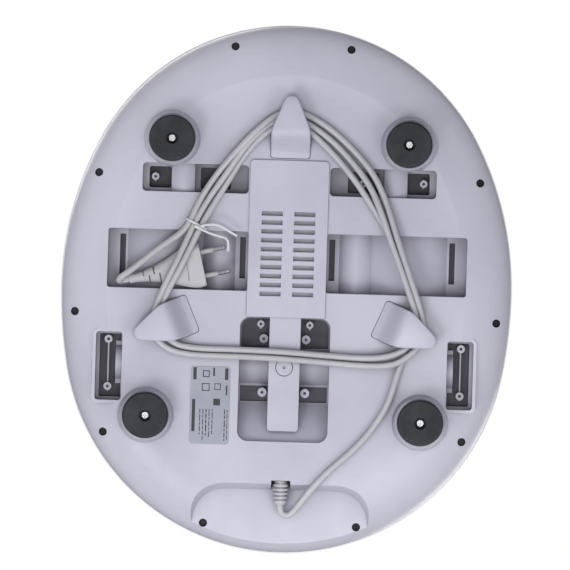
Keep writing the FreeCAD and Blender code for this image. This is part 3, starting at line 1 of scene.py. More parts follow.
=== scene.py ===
# %% [markdown]
# # A foot massager, seen from below
#
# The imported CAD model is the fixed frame. This lesson dresses it: the mains cord wound on its
# three hooks, the wire tie, the mesh covers over the massage heads, and a worked-out material
# for every moulded, metal, rubber and printed piece. Lengths are in metres and +Z is up.

# %% Load the frame
import math

import bmesh
import bpy
from mathutils import Matrix, Vector


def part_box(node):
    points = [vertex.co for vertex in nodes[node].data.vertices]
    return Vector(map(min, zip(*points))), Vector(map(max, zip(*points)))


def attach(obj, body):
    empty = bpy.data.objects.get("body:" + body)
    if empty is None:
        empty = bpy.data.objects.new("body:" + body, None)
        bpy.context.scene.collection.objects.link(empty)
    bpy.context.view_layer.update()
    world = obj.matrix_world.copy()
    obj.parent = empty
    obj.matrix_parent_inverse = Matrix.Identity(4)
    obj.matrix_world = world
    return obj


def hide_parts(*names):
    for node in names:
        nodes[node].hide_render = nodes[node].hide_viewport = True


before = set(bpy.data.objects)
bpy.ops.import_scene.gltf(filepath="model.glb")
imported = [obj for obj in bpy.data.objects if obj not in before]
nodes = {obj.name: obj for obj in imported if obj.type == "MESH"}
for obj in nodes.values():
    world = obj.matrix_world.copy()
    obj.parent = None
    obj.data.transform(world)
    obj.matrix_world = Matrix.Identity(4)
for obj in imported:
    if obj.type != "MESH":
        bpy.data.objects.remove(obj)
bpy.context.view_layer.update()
scene = bpy.context.scene

# %% [markdown]
# ## Camera, floor and light
#
# The camera looks straight up at the underside, a little rolled. The floor is only there for
# views from above: its underside is clear and it casts no shadow, so lamps below it light the
# feet and hooks. Broad panels left and right give the soft inward shadows of a light tent.

# %% Camera
CAMERA_DISTANCE = 5.0
CAMERA_ROLL = math.radians(-1.7)
CAMERA_AIM = (-0.0012, -0.0035)
VIEW_WIDTH = 0.4446

camera_data = bpy.data.cameras.new("camera")
camera_data.sensor_width = 36
camera_data.lens = 36 * CAMERA_DISTANCE / VIEW_WIDTH
camera_data.clip_end = 50
camera = bpy.data.objects.new("camera", camera_data)
camera.location = (CAMERA_AIM[0], CAMERA_AIM[1], 0.05 - CAMERA_DISTANCE)
camera.rotation_euler = (math.pi, 0, CAMERA_ROLL)
scene.collection.objects.link(camera)
scene.camera = camera
scene.view_settings.view_transform = "Standard"

# %% Floor
FLOOR_SIDE = 6.0


def flat_sheet(name, side, height):
    """A square sheet that lies level."""
    half = side / 2
    mesh = bpy.data.meshes.new(name)
    corners = [(-half, -half, height), (half, -half, height), (half, half, height),
               (-half, half, height)]
    mesh.from_pydata(corners, [], [(0, 1, 2, 3)])
    sheet = bpy.data.objects.new(name, mesh)
    scene.collection.objects.link(sheet)
    return sheet


FLOOR_GAP = 0.0006
floor = flat_sheet("floor", FLOOR_SIDE, -FLOOR_GAP)
floor.visible_shadow = False

# %% Lights
def soft_panel(name, place, target, width, height, power):
    """A rectangular lamp that faces its target."""
    data = bpy.data.lights.new(name, "AREA")
    data.shape = "RECTANGLE"
    data.size = width
    data.size_y = height
    data.energy = power
    lamp = bpy.data.objects.new(name, data)
    lamp.location = place
    lamp.rotation_euler = (Vector(target) - Vector(place)).to_track_quat("-Z", "Y").to_euler()
    lamp.visible_camera = False
    scene.collection.objects.link(lamp)
    return lamp


MIDDLE = (0, 0, 0.04)
soft_panel("panel_left", (-0.75, 0.95, -1.5), MIDDLE, 0.7, 0.7, 10.5)
soft_panel("panel_right", (1.0, 0.8, -1.5), MIDDLE, 0.6, 0.7, 5.2)
soft_panel("panel_below", (0, 0.35, -2.4), MIDDLE, 0.8, 0.8, 14.5)
soft_panel("panel_over", (-0.6, -0.7, 1.6), MIDDLE, 1.4, 1.4, 20)
soft_panel("panel_over_back", (0.9, 0.8, 1.3), MIDDLE, 1.0, 1.0, 10)

FILL = 0.07
world = bpy.data.worlds.new("studio")
world.use_nodes = True
scene.world = world

# %% [markdown]
# ## The mains cord
#
# One length of round 5 mm cord runs from the strain relief to the plug. It is wound two and a
# half times round the hooks: the first turn lies against the hooks' necks, the later ones
# outside it, and where three strands would not fit beside each other one lies over the others.
# The points are the control points of a smooth curve, which passes a little inside each corner.

# %% Cord route
CORD = 0.005

LEAD = [
    (0, 167.5, 27.4), (0, 172.2, 27.4), (3.3, 175.4, 27.2), (8, 175, 26.6), (13.6, 168, 23.6),
    (21.6, 157, 17.6), (31, 145.8, 16.2), (40.5, 136.2, 16), (51, 127, 16.4), (63, 114.6, 16.7),
    (74.5, 99, 16.6), (82.6, 83.5, 16.3), (87.8, 62.5, 16.1),
]
TAIL = [
    (-82, -41.8, 15), (-94, -33.4, 13.8), (-107, -23.2, 12.2), (-119, -13, 11.5),
    (-130.2, -4.6, 11.5), (-129.2, -2.572, 22.7), (-122, -4.3, 22.7),
]
FIRST_TURN = [
    (93, 47, 16.8), (98.4, 31, 17), (99.6, 15.5, 17.2), (95.6, -3, 17.2), (89, -22, 17.2),
    (80, -43, 17.2), (67.5, -62, 17.2), (54.2, -81.5, 17.2), (42.5, -96, 17.2),
    (29.6, -109.8, 17.2), (14, -123.8, 17), (0, -128.6, 16.8), (-15, -124.8, 17),
    (-28, -113.4, 17.2), (-38.4, -99.4, 17.2), (-46.6, -84.5, 17.2), (-57.4, -66, 17),
    (-67.2, -48.5, 15.4), (-77.2, -26, 13.2), (-84.8, -10, 13), (-91.8, 3, 13.8),
    (-96.8, 17, 16.4), (-98.6, 31, 16.8), (-87.6, 44.2, 16.6), (-71, 47.8, 16.4),
    (-36, 47.6, 16.3), (0, 48.4, 15.6), (36, 50.6, 16.2), (62, 51.8, 14.6),
]
SECOND_TURN = [
    (80, 50.2, 12.6), (94.6, 43.4, 12.7), (102.2, 31, 12.7), (100.6, 15, 12.8), (94, -3, 12.9),
    (86.8, -22, 12.9), (78.4, -43, 12.9), (72, -61, 13.6), (62.8, -82, 16.8),
    (49, -99.4, 17.2), (33, -115.8, 17.2), (14, -129, 17), (0, -133.8, 16.8),
    (-14, -130.4, 17), (-28.4, -118.2, 15), (-38, -106, 13.2), (-48.6, -89.2, 14.6),
    (-62, -69.4, 17), (-72.4, -50, 15.4), (-82.4, -26, 13.2), (-90, -9.6, 13),
    (-96.8, 5, 13.8), (-101.6, 19.6, 16.4), (-103.8, 34.6, 16.8), (-94.4, 47.4, 16.6),
    (-76, 53, 16.4), (-37, 52.8, 16.3), (0, 53.6, 15.6), (36, 56, 16.2), (66, 57.6, 14.4),
]
THIRD_TURN = [
    (85, 56.4, 12.6), (99.6, 46.6, 12.9), (107.2, 33, 14.4), (105.4, 16, 13.6),
    (98.8, -3, 12.9), (91.8, -22, 12.9), (83.4, -45, 13.4), (75, -71, 16.8),
    (65.4, -91, 17.2), (50.6, -108, 17.2), (32, -124.6, 17.2), (14, -135.4, 17),
    (0, -138.8, 16.8), (-13, -134.6, 15), (-28, -121.6, 12.8), (-43, -105, 13),
    (-59.4, -84, 16.6), (-70.4, -65, 16.4), (-75.6, -51, 15.6),
]


def metres(points):
    return [tuple(0.001 * number for number in point) for point in points]


route = metres(LEAD + FIRST_TURN + SECOND_TURN + THIRD_TURN + TAIL)


def smooth_line(name, points, thickness):
    """A round NURBS line that leans into its control points.

    The thickness sits in each point's radius, so that the line's bound box fits round it.
    """
    curve = bpy.data.curves.new(name, "CURVE")
    curve.dimensions = "3D"
    spline = curve.splines.new("NURBS")
    spline.points.add(len(points) - 1)
    for point, place in zip(spline.points, points):
        point.co = (*place, 1.0)
        point.radius = thickness / 2
    spline.order_u = 3
    spline.use_endpoint_u = True
    spline.resolution_u = 8
    curve.bevel_depth = 1.0 if thickness else 0.0
    curve.bevel_resolution = 5
    line = bpy.data.objects.new(name, curve)
    scene.collection.objects.link(line)
    return line


cord = smooth_line("mains_cord", route, CORD)
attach(cord, "root")
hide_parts("power_cord_lead", "power_cord_coil", "power_cord_tail")
print("cord:", len(route), "points")

# %% [markdown]
# ## The wire tie
#
# A bag tie is a flat white strip with a thin wire moulded in its middle. It could be two flat
# boxes, but a strip shows its ridge and its twist at the knot, so a flat section with a ridge
# is swept along smooth lines: one round the three strands, two twisted together, two loose ends.

# %% Sweep a flat strip
def smooth_places(points):
    """Places read along the smooth NURBS line of some control points."""
    line = smooth_line("guide", points, 0.0)
    mesh = bpy.data.meshes.new_from_object(line)
    places = [vertex.co.copy() for vertex in mesh.vertices]
    bpy.data.objects.remove(line)
    return places


def sweep(name, lines, section, flat_way=None):
    """One mesh of a closed section swept along each line of places."""
    bm = bmesh.new()
    for places in lines:
        rings = []
        for i, place in enumerate(places):
            ahead = places[min(i + 1, len(places) - 1)] - places[max(i - 1, 0)]
            across = flat_way or ahead.cross(Vector((0, 0, 1))).normalized()
            out = across.cross(ahead.normalized()).normalized()
            rings.append([bm.verts.new(place + across * u + out * v) for u, v in section])
        count = len(section)
        for ring, after in zip(rings, rings[1:]):
            for k in range(count):
                bm.faces.new((ring[k], ring[(k + 1) % count], after[(k + 1) % count], after[k]))
        bm.faces.new(rings[0][::-1])
        bm.faces.new(rings[-1])
    bmesh.ops.recalc_face_normals(bm, faces=bm.faces)
    mesh = bpy.data.meshes.new(name)
    bm.to_mesh(mesh)
    bm.free()
    for face in mesh.polygons:
        face.use_smooth = True
    mesh.set_sharp_from_angle(angle=math.radians(50))
    piece = bpy.data.objects.new(name, mesh)
    scene.collection.objects.link(piece)
    return piece


# %% Wire tie
TIE_SECTION = [(0.001 * u, 0.001 * v) for u, v in (
    (-0.85, -0.16), (-0.4, -0.2), (-0.22, -0.42), (0.22, -0.42), (0.4, -0.2), (0.85, -0.16),
    (0.85, 0.16), (0.4, 0.2), (0.22, 0.42), (-0.22, 0.42), (-0.4, 0.2), (-0.85, 0.16))]
TIE_LONG = [(-68.6, -46.2, 10.6), (-66, -47.8, 10.2), (-62.5, -48.3, 9.6), (-57.6, -48.8, 9.2),
            (-52.6, -47.9, 9.4), (-46.4, -44.1, 10), (-39.4, -40.3, 10.8)]
TIE_SHORT = [(-68.6, -45.6, 10.4), (-66.4, -44.2, 10), (-60.4, -41.7, 9.4), (-52.3, -39.4, 9.4),
             (-48, -38.6, 10), (-45.6, -35.4, 11), (-46, -28.2, 13)]
STRANDS_WAY = Vector((-0.444, 0.897, 0))
BAND_MIDDLE = Vector((-0.0712, -0.0488, 0.0154))
BAND_HALF = (0.0088, 0.0033)


def band_places():
    """A flattened ring round the three strands."""
    across = Vector((STRANDS_WAY.y, -STRANDS_WAY.x, 0))
    places = []
    for step in range(29):
        angle = 2 * math.pi * step / 28 - math.pi / 2
        wide = math.copysign(abs(math.cos(angle)) ** 0.6, math.cos(angle))
        places.append(BAND_MIDDLE + across * BAND_HALF[0] * wide
                      + Vector((0, 0, BAND_HALF[1] * math.sin(angle))))
    return places


def twist_places(phase):
    """One of the two strips that turn round each other at the knot."""
    start, end = Vector((-0.0724, -0.0472, 0.0118)), Vector((-0.0684, -0.0458, 0.0105))
    places = []
    for step in range(25):
        share = step / 24
        angle = 3.5 * math.pi * share + phase
        swing = Vector((-0.33 * math.cos(angle), 0.94 * math.cos(angle), math.sin(angle)))
        places.append(start.lerp(end, share) + 0.0007 * swing)
    return places


tie_lines = [smooth_places(metres(TIE_LONG)), smooth_places(metres(TIE_SHORT)),
             twist_places(0), twist_places(math.pi)]
tie = sweep("wire_tie", tie_lines, TIE_SECTION)
tie_band = sweep("wire_tie_band", [band_places()], TIE_SECTION, STRANDS_WAY)
for piece in (tie, tie_band):
    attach(piece, "root")
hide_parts("twist_tie")
print("tie:", len(tie.data.vertices), "points, band:", len(tie_band.data.vertices))

# %% [markdown]
# ## Cord hooks
#
# Each hook is one moulded strap: it rises out of a flat base, turns level, and narrows to a
# round tip. A block with cut corners would look machined, so the strap is lofted through
# stations, each a rounded oblong of its own width and depth, and the same strap is placed thrice.

# %% Hook strap
UNDERSIDE = 0.020
HOOK_STATIONS = [
    (2.4, 15.0, -0.1, 1.0), (4.2, 15.1, -0.5, 1.0), (6.4, 15.1, -1.8, 1.0), (8.8, 15.1, -4.1, 0.6),
    (11.2, 15.1, -7.1, -2.6), (13.4, 15.1, -10.0, -6.6), (15.4, 15.1, -12.3, -9.8),
    (17.6, 15.1, -13.9, -10.7), (20, 15.0, -14.5, -10.8), (23, 14.5, -14.6, -10.8),
    (26.5, 13.2, -14.6, -10.8), (30.1, 11.7, -14.6, -10.8), (34, 10.1, -14.6, -10.8),
    (37.9, 8.5, -14.5, -10.8), (41.5, 7.0, -14.4, -10.8), (44.1, 5.8, -14.2, -10.8),
    (46.2, 4.6, -13.9, -10.9), (47.6, 3.3, -13.4, -11.2), (48.4, 1.9, -12.9, -11.6),
]
HOOK_CORNER = 1.25
HOOK_PLACES = {"front": (0.0, -101.8, -90.0), "right": (72.3, 20.1, 23.0),
               "left": (-72.3, 20.1, 157.0)}


def oblong(half_wide, low, high, corner, steps=4):
    """Points round an oblong with round corners, in mm."""
    corner = min(corner, half_wide * 0.95, (high - low) / 2 * 0.95)
    points = []
    for cx, cz, start in ((half_wide - corner, high - corner, 0),
                          (corner - half_wide, high - corner, 90),
                          (corner - half_wide, low + corner, 180),
                          (half_wide - corner, low + corner, 270)):
        for step in range(steps + 1):
            angle = math.radians(start + 90 * step / steps)
            points.append((cx + corner * math.cos(angle), cz + corner * math.sin(angle)))
    return points


def skin_rings(bm, rings):
    """Faces between rings of points, and a face on each end."""
    rings = [[bm.verts.new(point) for point in ring] for ring in rings]
    count = len(rings[0])
    for ring, after in zip(rings, rings[1:]):
        for k in range(count):
            bm.faces.new((ring[k], ring[(k + 1) % count], after[(k + 1) % count], after[k]))
    bm.faces.new(rings[0][::-1])
    bm.faces.new(rings[-1])


def upright_block(bm, left, right, half, low, high, corner):
    """A block with round upright edges and a small round on its lower face."""
    middle = (left + right) / 2
    rings = []
    for height, inset in ((low, 0.35), (low + 0.12, 0.1), (low + 0.4, 0), (high, 0)):
        plan = oblong(half - inset, left - middle + inset, right - middle - inset, corner, 6)
        rings.append([(middle + y, x, height) for x, y in plan])
    skin_rings(bm, rings)


def make_hook(name, across, along, degrees):
    bm = bmesh.new()
    strap = [[(x, y, z) for y, z in oblong(half, low, high, HOOK_CORNER)]
             for x, half, low, high in HOOK_STATIONS]
    skin_rings(bm, strap)
    upright_block(bm, 0, 21, 15.5, -0.05, 4.6, 3)
    upright_block(bm, 15.6, 20.4, 7.5, -10.9, 0.5, 2)
    place = (Matrix.Translation((0.001 * across, 0.001 * along, UNDERSIDE))
             @ Matrix.Rotation(math.radians(degrees), 4, "Z") @ Matrix.Scale(0.001, 4))
    bm.transform(place)
    bmesh.ops.recalc_face_normals(bm, faces=bm.faces)
    mesh = bpy.data.meshes.new(name)
    bm.to_mesh(mesh)
    bm.free()
    for face in mesh.polygons:
        face.use_smooth = True
    mesh.set_sharp_from_angle(angle=math.radians(40))
    piece = bpy.data.objects.new(name, mesh)
    scene.collection.objects.link(piece)
    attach(piece, "root")
    return piece


hook_pieces = {}
for side, (across, along, degrees) in HOOK_PLACES.items():
    hook_pieces[side] = make_hook("hook_strap_" + side, across, along, degrees)
    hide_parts("cord_hook_" + side)
print("hooks:", len(hook_pieces), "of", len(hook_pieces["front"].data.polygons), "faces")

# %% [markdown]
# ## Mesh cloth over the massage heads
#
# The feet rest on a stretched mesh cloth with thin foam under it. A flat slab would look like
# card, so the slab is welded, remeshed with voxels about half as wide as it is thick, blown up
# a little by a cloth simulation, and let down between the massage heads. The left cover is the
# right one turned over in a mirror.

# %% Foot covers
VOXEL = 0.0013
SWELL_CAP = 0.0008
COVER_SHRINK = (0.985, 0.993, 0.62)
SIMULATED_FRAMES = 10
WELD = 0.00001
PRESSURE = 4.0
DIP = 0.0012
DIP_START = 0.016
DIP_SLOPE = 0.02


def shrunk_copy(node, name, shares):
    """A new object with the node's mesh made smaller about its middle."""
    low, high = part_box(node)
    middle = (low + high) / 2
    bm = bmesh.new()
    bm.from_mesh(nodes[node].data)
    bmesh.ops.remove_doubles(bm, verts=bm.verts, dist=WELD)
    for vertex in bm.verts:
        away = vertex.co - middle
        vertex.co = middle + Vector(a * share for a, share in zip(away, shares))
    mesh = bpy.data.meshes.new(name)
    bm.to_mesh(mesh)
    bm.free()
    piece = bpy.data.objects.new(name, mesh)
    scene.collection.objects.link(piece)
    return piece


def settle(piece):
    """Replace the piece's mesh by what its modifiers make of it."""
    shown = piece.evaluated_get(bpy.context.evaluated_depsgraph_get())
    mesh = bpy.data.meshes.new_from_object(shown)
    piece.modifiers.clear()
    piece.data = mesh


def swell(piece, pressure, cap):
    """Blow a closed mesh up as cloth, and let no point move further than the cap."""
    before = [vertex.co.copy() for vertex in piece.data.vertices]
    cloth = piece.modifiers.new("swell", "CLOTH")
    cloth.settings.use_pressure = True
    cloth.settings.uniform_pressure_force = pressure
    cloth.settings.effector_weights.gravity = 0
    cloth.point_cache.frame_end = SIMULATED_FRAMES
    for moment in range(1, SIMULATED_FRAMES + 1):
        scene.frame_set(moment)
    settle(piece)
    scene.frame_set(1)
    for vertex, place in zip(piece.data.vertices, before):
        move = vertex.co - place
        if move.length > cap:
            vertex.co = place + move * (cap / move.length)


def press_between_heads(piece):
    """Let the cloth dip a little away from the discs' nodes, as it does when it is stretched."""
    low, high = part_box("foot_cover_right")
    heads = [(a + b) / 2 for a, b in (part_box("massage_disc_right_" + row)
                                      for row in ("front", "middle", "back"))]
    for vertex in piece.data.vertices:
        nearest = min((vertex.co.xy - head.xy).length for head in heads)
        dip = DIP * min(1.0, max(0.0, (nearest - DIP_START) / DIP_SLOPE))
        if vertex.co.z > (low.z + high.z) / 2:
            vertex.co.z -= dip


def make_cover():
    cover = shrunk_copy("foot_cover_right", "cover_cloth_right", COVER_SHRINK)
    remesh = cover.modifiers.new("voxels", "REMESH")
    remesh.mode = "VOXEL"
    remesh.voxel_size = VOXEL
    settle(cover)
    swell(cover, PRESSURE, SWELL_CAP)
    press_between_heads(cover)
    for face in cover.data.polygons:
        face.use_smooth = True
    return cover


def mirror_copy(piece, name):
    """The same piece on the other side of the middle plane, its faces turned outwards."""
    mesh = piece.data.copy()
    mesh.name = name
    mesh.transform(Matrix.Scale(-1, 4, (1, 0, 0)))
    mesh.flip_normals()
    other = bpy.data.objects.new(name, mesh)
    scene.collection.objects.link(other)
    return other


cover_right = make_cover()
cover_left = mirror_copy(cover_right, "cover_cloth_left")
for piece, side in ((cover_right, "right"), (cover_left, "left")):
    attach(piece, "root")
    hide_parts("foot_cover_" + side)
print("covers:", len(cover_right.data.vertices), "points each, thickness",
      round(cover_right.dimensions.z, 4))

# %% [markdown]
# ## Print on the rating plate
#
# The plate carries a maker's print. Real words and marks are left out: short bars stand for
# lines of small type, one heavy bar for a heading, and plain blocks, a ring and a frame for
# symbols. They are thin raised ink, so that they stay sharp without any picture.

# %% Rating plate print
INK_HEIGHT = 0.00005
plate_low, plate_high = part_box("rating_plate")
PLATE_MIDDLE = (plate_low + plate_high) / 2
HEADING = (-12.6, 3.5, 4.6, 25.0)
SYMBOLS = [(-12.2, -24.5, 2.6, 9.5), (2.6, -26.0, 1.4, 6.5), (12.4, -24.4, 2.6, 9.0),
           (12.6, -11.8, 1.2, 7.4), (5.2, -2.6, 5.2, 5.2)]
ROWS = [(-7.6, 0.7), (-5.2, 0.7), (-2.8, 0.9), (-0.4, 0.7), (2.0, 0.7), (11.6, 0.8), (13.6, 0.6)]
WORDS = [3.1, 5.4, 2.2, 4.0, 1.6, 4.8, 2.7, 3.6]


def bar(bm, across, along, width, length):
    """A thin block of ink, placed in mm from the plate's middle."""
    scale = Matrix.Diagonal((0.001 * width, 0.001 * length, INK_HEIGHT, 1))
    place = Vector((PLATE_MIDDLE.x + 0.001 * across, PLATE_MIDDLE.y + 0.001 * along,
                    plate_low.z - INK_HEIGHT / 2 + 0.00001))
    bmesh.ops.create_cube(bm, size=1, matrix=Matrix.Translation(place) @ scale)


def frame_of_bars(bm, across, along, side, line):
    """Four bars round a square."""
    half = (side - line) / 2
    for sign in (-1, 1):
        bar(bm, across + sign * half, along, line, side)
        bar(bm, across, along + sign * half, side, line)


def print_plate():
    bm = bmesh.new()
    bar(bm, HEADING[0], HEADING[1] + HEADING[3] / 2 - 8, HEADING[2] * 0.55, HEADING[3])
    for across, along, width, length in SYMBOLS:
        bar(bm, across, along, width, length)
    frame_of_bars(bm, -3.6, -14.0, 6.0, 0.7)
    frame_of_bars(bm, 5.6, -14.6, 5.0, 0.6)
    frame_of_bars(bm, -3.4, -24.4, 5.2, 0.7)
    for number, (across, width) in enumerate(ROWS):
        along = 3.0
        for turn in range(6):
            length = WORDS[(number * 3 + turn) % len(WORDS)]
            if along + length > 27.5:
                break
            bar(bm, across, along + length / 2, width, length)
            along += length + 0.9
    mesh = bpy.data.meshes.new("plate_print")
    bm.to_mesh(mesh)
    bm.free()
    piece = bpy.data.objects.new("plate_print", mesh)
    scene.collection.objects.link(piece)
    return piece


plate_print = print_plate()
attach(plate_print, "root")
print("plate print:", len(plate_print.data.polygons), "faces")

# %% [markdown]
# ## Shader helpers
#
# Every material is a small node tree. These two functions keep the trees short to write: one
# adds a node and fills its sockets, the other makes a group with named inputs and outputs.

# %% Node helpers
def fill(tree, node, inputs):
    """Set or link a node's input sockets by name or number."""
    for key, value in inputs.items():
        socket = node.inputs[key]
        if isinstance(value, bpy.types.NodeSocket):
            tree.links.new(value, socket)
        else:
            socket.default_value = value
    return node


def add(tree, kind, inputs=None, **settings):
    """A new node with its settings and inputs."""
    node = tree.nodes.new(kind)
    for name, value in settings.items():
        setattr(node, name, value)
    return fill(tree, node, inputs or {})


def math_node(tree, operation, first, second=0.5, clamp=False):
    node = add(tree, "ShaderNodeMath", {0: first, 1: second}, operation=operation)
    node.use_clamp = clamp
    return node.outputs[0]


def spread(tree, value, start, end, to_start=0.0, to_end=1.0):
    """Map a range of values smoothly on to another."""
    node = add(tree, "ShaderNodeMapRange", {"Value": value, "From Min": start, "From Max": end,
                                            "To Min": to_start, "To Max": to_end},
               interpolation_type="SMOOTHSTEP")
    return node.outputs["Result"]


def blend_colour(tree, share, first, second, mode="MIX"):
    node = add(tree, "ShaderNodeMix", data_type="RGBA", blend_type=mode)
    fill(tree, node, {"Factor": share})
    for key, value in (("A", first), ("B", second)):
        socket = [s for s in node.inputs if s.name == key and s.type == "RGBA"][0]
        if isinstance(value, bpy.types.NodeSocket):
            tree.links.new(value, socket)
        else:
            socket.default_value = value
    return [s for s in node.outputs if s.type == "RGBA"][0]


def effect(name, inputs, outputs):
    """A node group with float inputs and typed outputs: the group, its start and its end."""
    group = bpy.data.node_groups.new(name, "ShaderNodeTree")
    for label, default in inputs:
        socket = group.interface.new_socket(label, in_out="INPUT", socket_type="NodeSocketFloat")
        socket.default_value = default
    for label, kind in outputs:
        group.interface.new_socket(label, in_out="OUTPUT", socket_type=kind)
    start = group.nodes.new("NodeGroupInput")
    end = group.nodes.new("NodeGroupOutput")
    return group, start, end


def use(tree, group, **inputs):
    """A group placed in a material, its inputs named with underscores for spaces."""
    node = tree.nodes.new("ShaderNodeGroup")
    node.node_tree = group
    for name, value in inputs.items():
        fill(tree, node, {name.replace("_", " "): value})
    return node


def tint(red, green, blue):
    """A colour given as on a 0 to 255 screen, as linear light."""
    def linear(level):
        share = level / 255
        return share / 12.92 if share <= 0.04045 else ((share + 0.055) / 1.055) ** 2.4
    return (linear(red), linear(green), linear(blue), 1.0)


# %% [markdown]
# ## Shared effects
#
# `rounded grain` turns sharp CAD edges into small rounds and adds the fine spark-eroded grain
# of a mould. `edge wear` finds the edges. `handling` is the cloudy variation of dust and
# fingers, and `hairlines` are thin scuffs in one direction.

# %% Effect groups
def make_rounded_grain():
    group, start, end = effect("rounded grain",
                               [("Radius", 0.0006), ("Grain Scale", 1400.0), ("Grain", 0.15)],
                               [("Normal", "NodeSocketVector")])
    place = add(group, "ShaderNodeTexCoord").outputs["Object"]
    fine = add(group, "ShaderNodeTexNoise", {"Vector": place, "Scale": start.outputs["Grain Scale"],
                                             "Detail": 3.0, "Roughness": 0.6})
    wave = add(group, "ShaderNodeTexNoise", {"Vector": place, "Scale": 60.0, "Detail": 2.0})
    soft = math_node(group, "MULTIPLY", wave.outputs[0], 0.6)
    relief = math_node(group, "ADD", fine.outputs[0], soft)
    edge = add(group, "ShaderNodeBevel", {"Radius": start.outputs["Radius"]}, samples=6)
    bump = add(group, "ShaderNodeBump", {"Height": relief, "Strength": start.outputs["Grain"],
                                         "Distance": 0.0004, "Normal": edge.outputs[0]})
    group.links.new(bump.outputs[0], end.inputs["Normal"])
    return group


def make_edge_wear():
    group, start, end = effect("edge wear", [("Radius", 0.0012)], [("Mask", "NodeSocketFloat")])
    edge = add(group, "ShaderNodeBevel", {"Radius": start.outputs["Radius"]}, samples=4)
    face = add(group, "ShaderNodeNewGeometry").outputs["Normal"]
    meet = add(group, "ShaderNodeVectorMath", {0: edge.outputs[0], 1: face},
               operation="DOT_PRODUCT").outputs["Value"]
    place = add(group, "ShaderNodeTexCoord").outputs["Object"]
    patches = add(group, "ShaderNodeTexNoise", {"Vector": place, "Scale": 90.0, "Detail": 4.0})
    worn = spread(group, meet, 0.995, 0.86)
    broken = spread(group, patches.outputs[0], 0.35, 0.65, 0.35, 1.0)
    group.links.new(math_node(group, "MULTIPLY", worn, broken), end.inputs["Mask"])
    return group


def make_handling():
    group, start, end = effect("handling", [("Scale", 9.0)], [("Mask", "NodeSocketFloat"),
                                                             ("Specks", "NodeSocketFloat")])
    place = add(group, "ShaderNodeTexCoord").outputs["Object"]
    cloud = add(group, "ShaderNodeTexNoise", {"Vector": place, "Scale": start.outputs["Scale"],
                                              "Detail": 6.0, "Roughness": 0.62, "Distortion": 0.4})
    group.links.new(spread(group, cloud.outputs[0], 0.35, 0.7), end.inputs["Mask"])
    speck = add(group, "ShaderNodeTexVoronoi", {"Vector": place, "Scale": 260.0})
    group.links.new(spread(group, speck.outputs["Distance"], 0.09, 0.03), end.inputs["Specks"])
    return group


def make_hairlines():
    group, start, end = effect("hairlines", [("Across", 900.0), ("Along", 14.0)],
                               [("Mask", "NodeSocketFloat")])
    place = add(group, "ShaderNodeTexCoord").outputs["Object"]
    stretch = add(group, "ShaderNodeCombineXYZ", {0: start.outputs["Across"],
                                                  1: start.outputs["Along"], 2: 60.0})
    drawn = add(group, "ShaderNodeVectorMath", {0: place, 1: stretch.outputs[0]},
                operation="MULTIPLY").outputs[0]
    lines = add(group, "ShaderNodeTexNoise", {"Vector": drawn, "Scale": 1.0, "Detail": 3.0})
    group.links.new(spread(group, lines.outputs[0], 0.56, 0.72), end.inputs["Mask"])
    return group


rounded_grain = make_rounded_grain()
edge_wear = make_edge_wear()
handling = make_handling()
hairlines = make_hairlines()
print("effects:", ", ".join(sorted(group.name for group in bpy.data.node_groups)))

# %% [markdown]
# ## Materials

# %% Material functions
def new_material(name):
    material = bpy.data.materials.new(name)
    material.use_nodes = True
    tree = material.node_tree
    tree.nodes.clear()
    end = tree.nodes.new("ShaderNodeOutputMaterial")
    return material, tree, end


def finish_surface(tree, end, inputs):
    """The Principled shader of a material, linked to its output."""
    shader = add(tree, "ShaderNodeBsdfPrincipled", inputs)
    tree.links.new(shader.outputs[0], end.inputs["Surface"])
    return shader


def moulded(name, colour, shade, roughness=0.42, grain=0.15, grain_scale=1400.0, radius=0.0006,
            cloud=9.0, dust=0.25, reach=0.0, painted_shade=0.5):
    """A moulded plastic: two close colours clouded together, rounded edges and fine grain.

    Where other surfaces hem it in within the reach, the colour is darkened towards a dark grey:
    painted shade in hollows, corners and between parts.
    """
    material, tree, end = new_material(name)
    hands = use(tree, handling, Scale=cloud)
    edges = use(tree, edge_wear, Radius=2 * radius)
    base = blend_colour(tree, hands.outputs["Mask"], colour, shade)
    light = tuple(min(1.0, 1.12 * level + 0.01) for level in colour[:3]) + (1.0,)
    base = blend_colour(tree, math_node(tree, "MULTIPLY", edges.outputs["Mask"], 0.6), base, light)
    specks = math_node(tree, "MULTIPLY", hands.outputs["Specks"], dust)
    dark = tuple(0.72 * level for level in colour[:3]) + (1.0,)
    base = blend_colour(tree, specks, base, dark)
    # Painted shade: ambient occlusion darkens the colour in hollows, in corners and next to other
    # parts.
    if reach:
        open_air = add(tree, "ShaderNodeAmbientOcclusion", {"Distance": reach}, samples=8)
        painted_shade_mask = spread(tree, open_air.outputs["AO"], 0.95, 0.1, 0.0, painted_shade)
        base = blend_colour(tree, painted_shade_mask, base, tint(52, 50, 60))
    rough = spread(tree, hands.outputs["Mask"], 0.0, 1.0, roughness - 0.05, roughness + 0.07)
    skin = use(tree, rounded_grain, Radius=radius, Grain=grain, Grain_Scale=grain_scale)
    finish_surface(tree, end, {"Base Color": base, "Roughness": rough,
                               "Normal": skin.outputs["Normal"], "Specular IOR Level": 0.45})
    return material


def metal(name, colour, roughness=0.28, across=900.0, along=14.0, radius=0.0002):
    """A plated or drawn metal with hairlines and rounded edges."""
    material, tree, end = new_material(name)
    lines = use(tree, hairlines, Across=across, Along=along)
    hands = use(tree, handling, Scale=40.0)
    dull = tuple(0.62 * level for level in colour[:3]) + (1.0,)
    base = blend_colour(tree, math_node(tree, "MULTIPLY", hands.outputs["Mask"], 0.5), colour, dull)
    rough = spread(tree, lines.outputs["Mask"], 0.0, 1.0, roughness, roughness + 0.2)
    skin = use(tree, rounded_grain, Radius=radius, Grain=0.05, Grain_Scale=2500.0)
    finish_surface(tree, end, {"Base Color": base, "Metallic": 1.0, "Roughness": rough,
                               "Normal": skin.outputs["Normal"]})
    return material


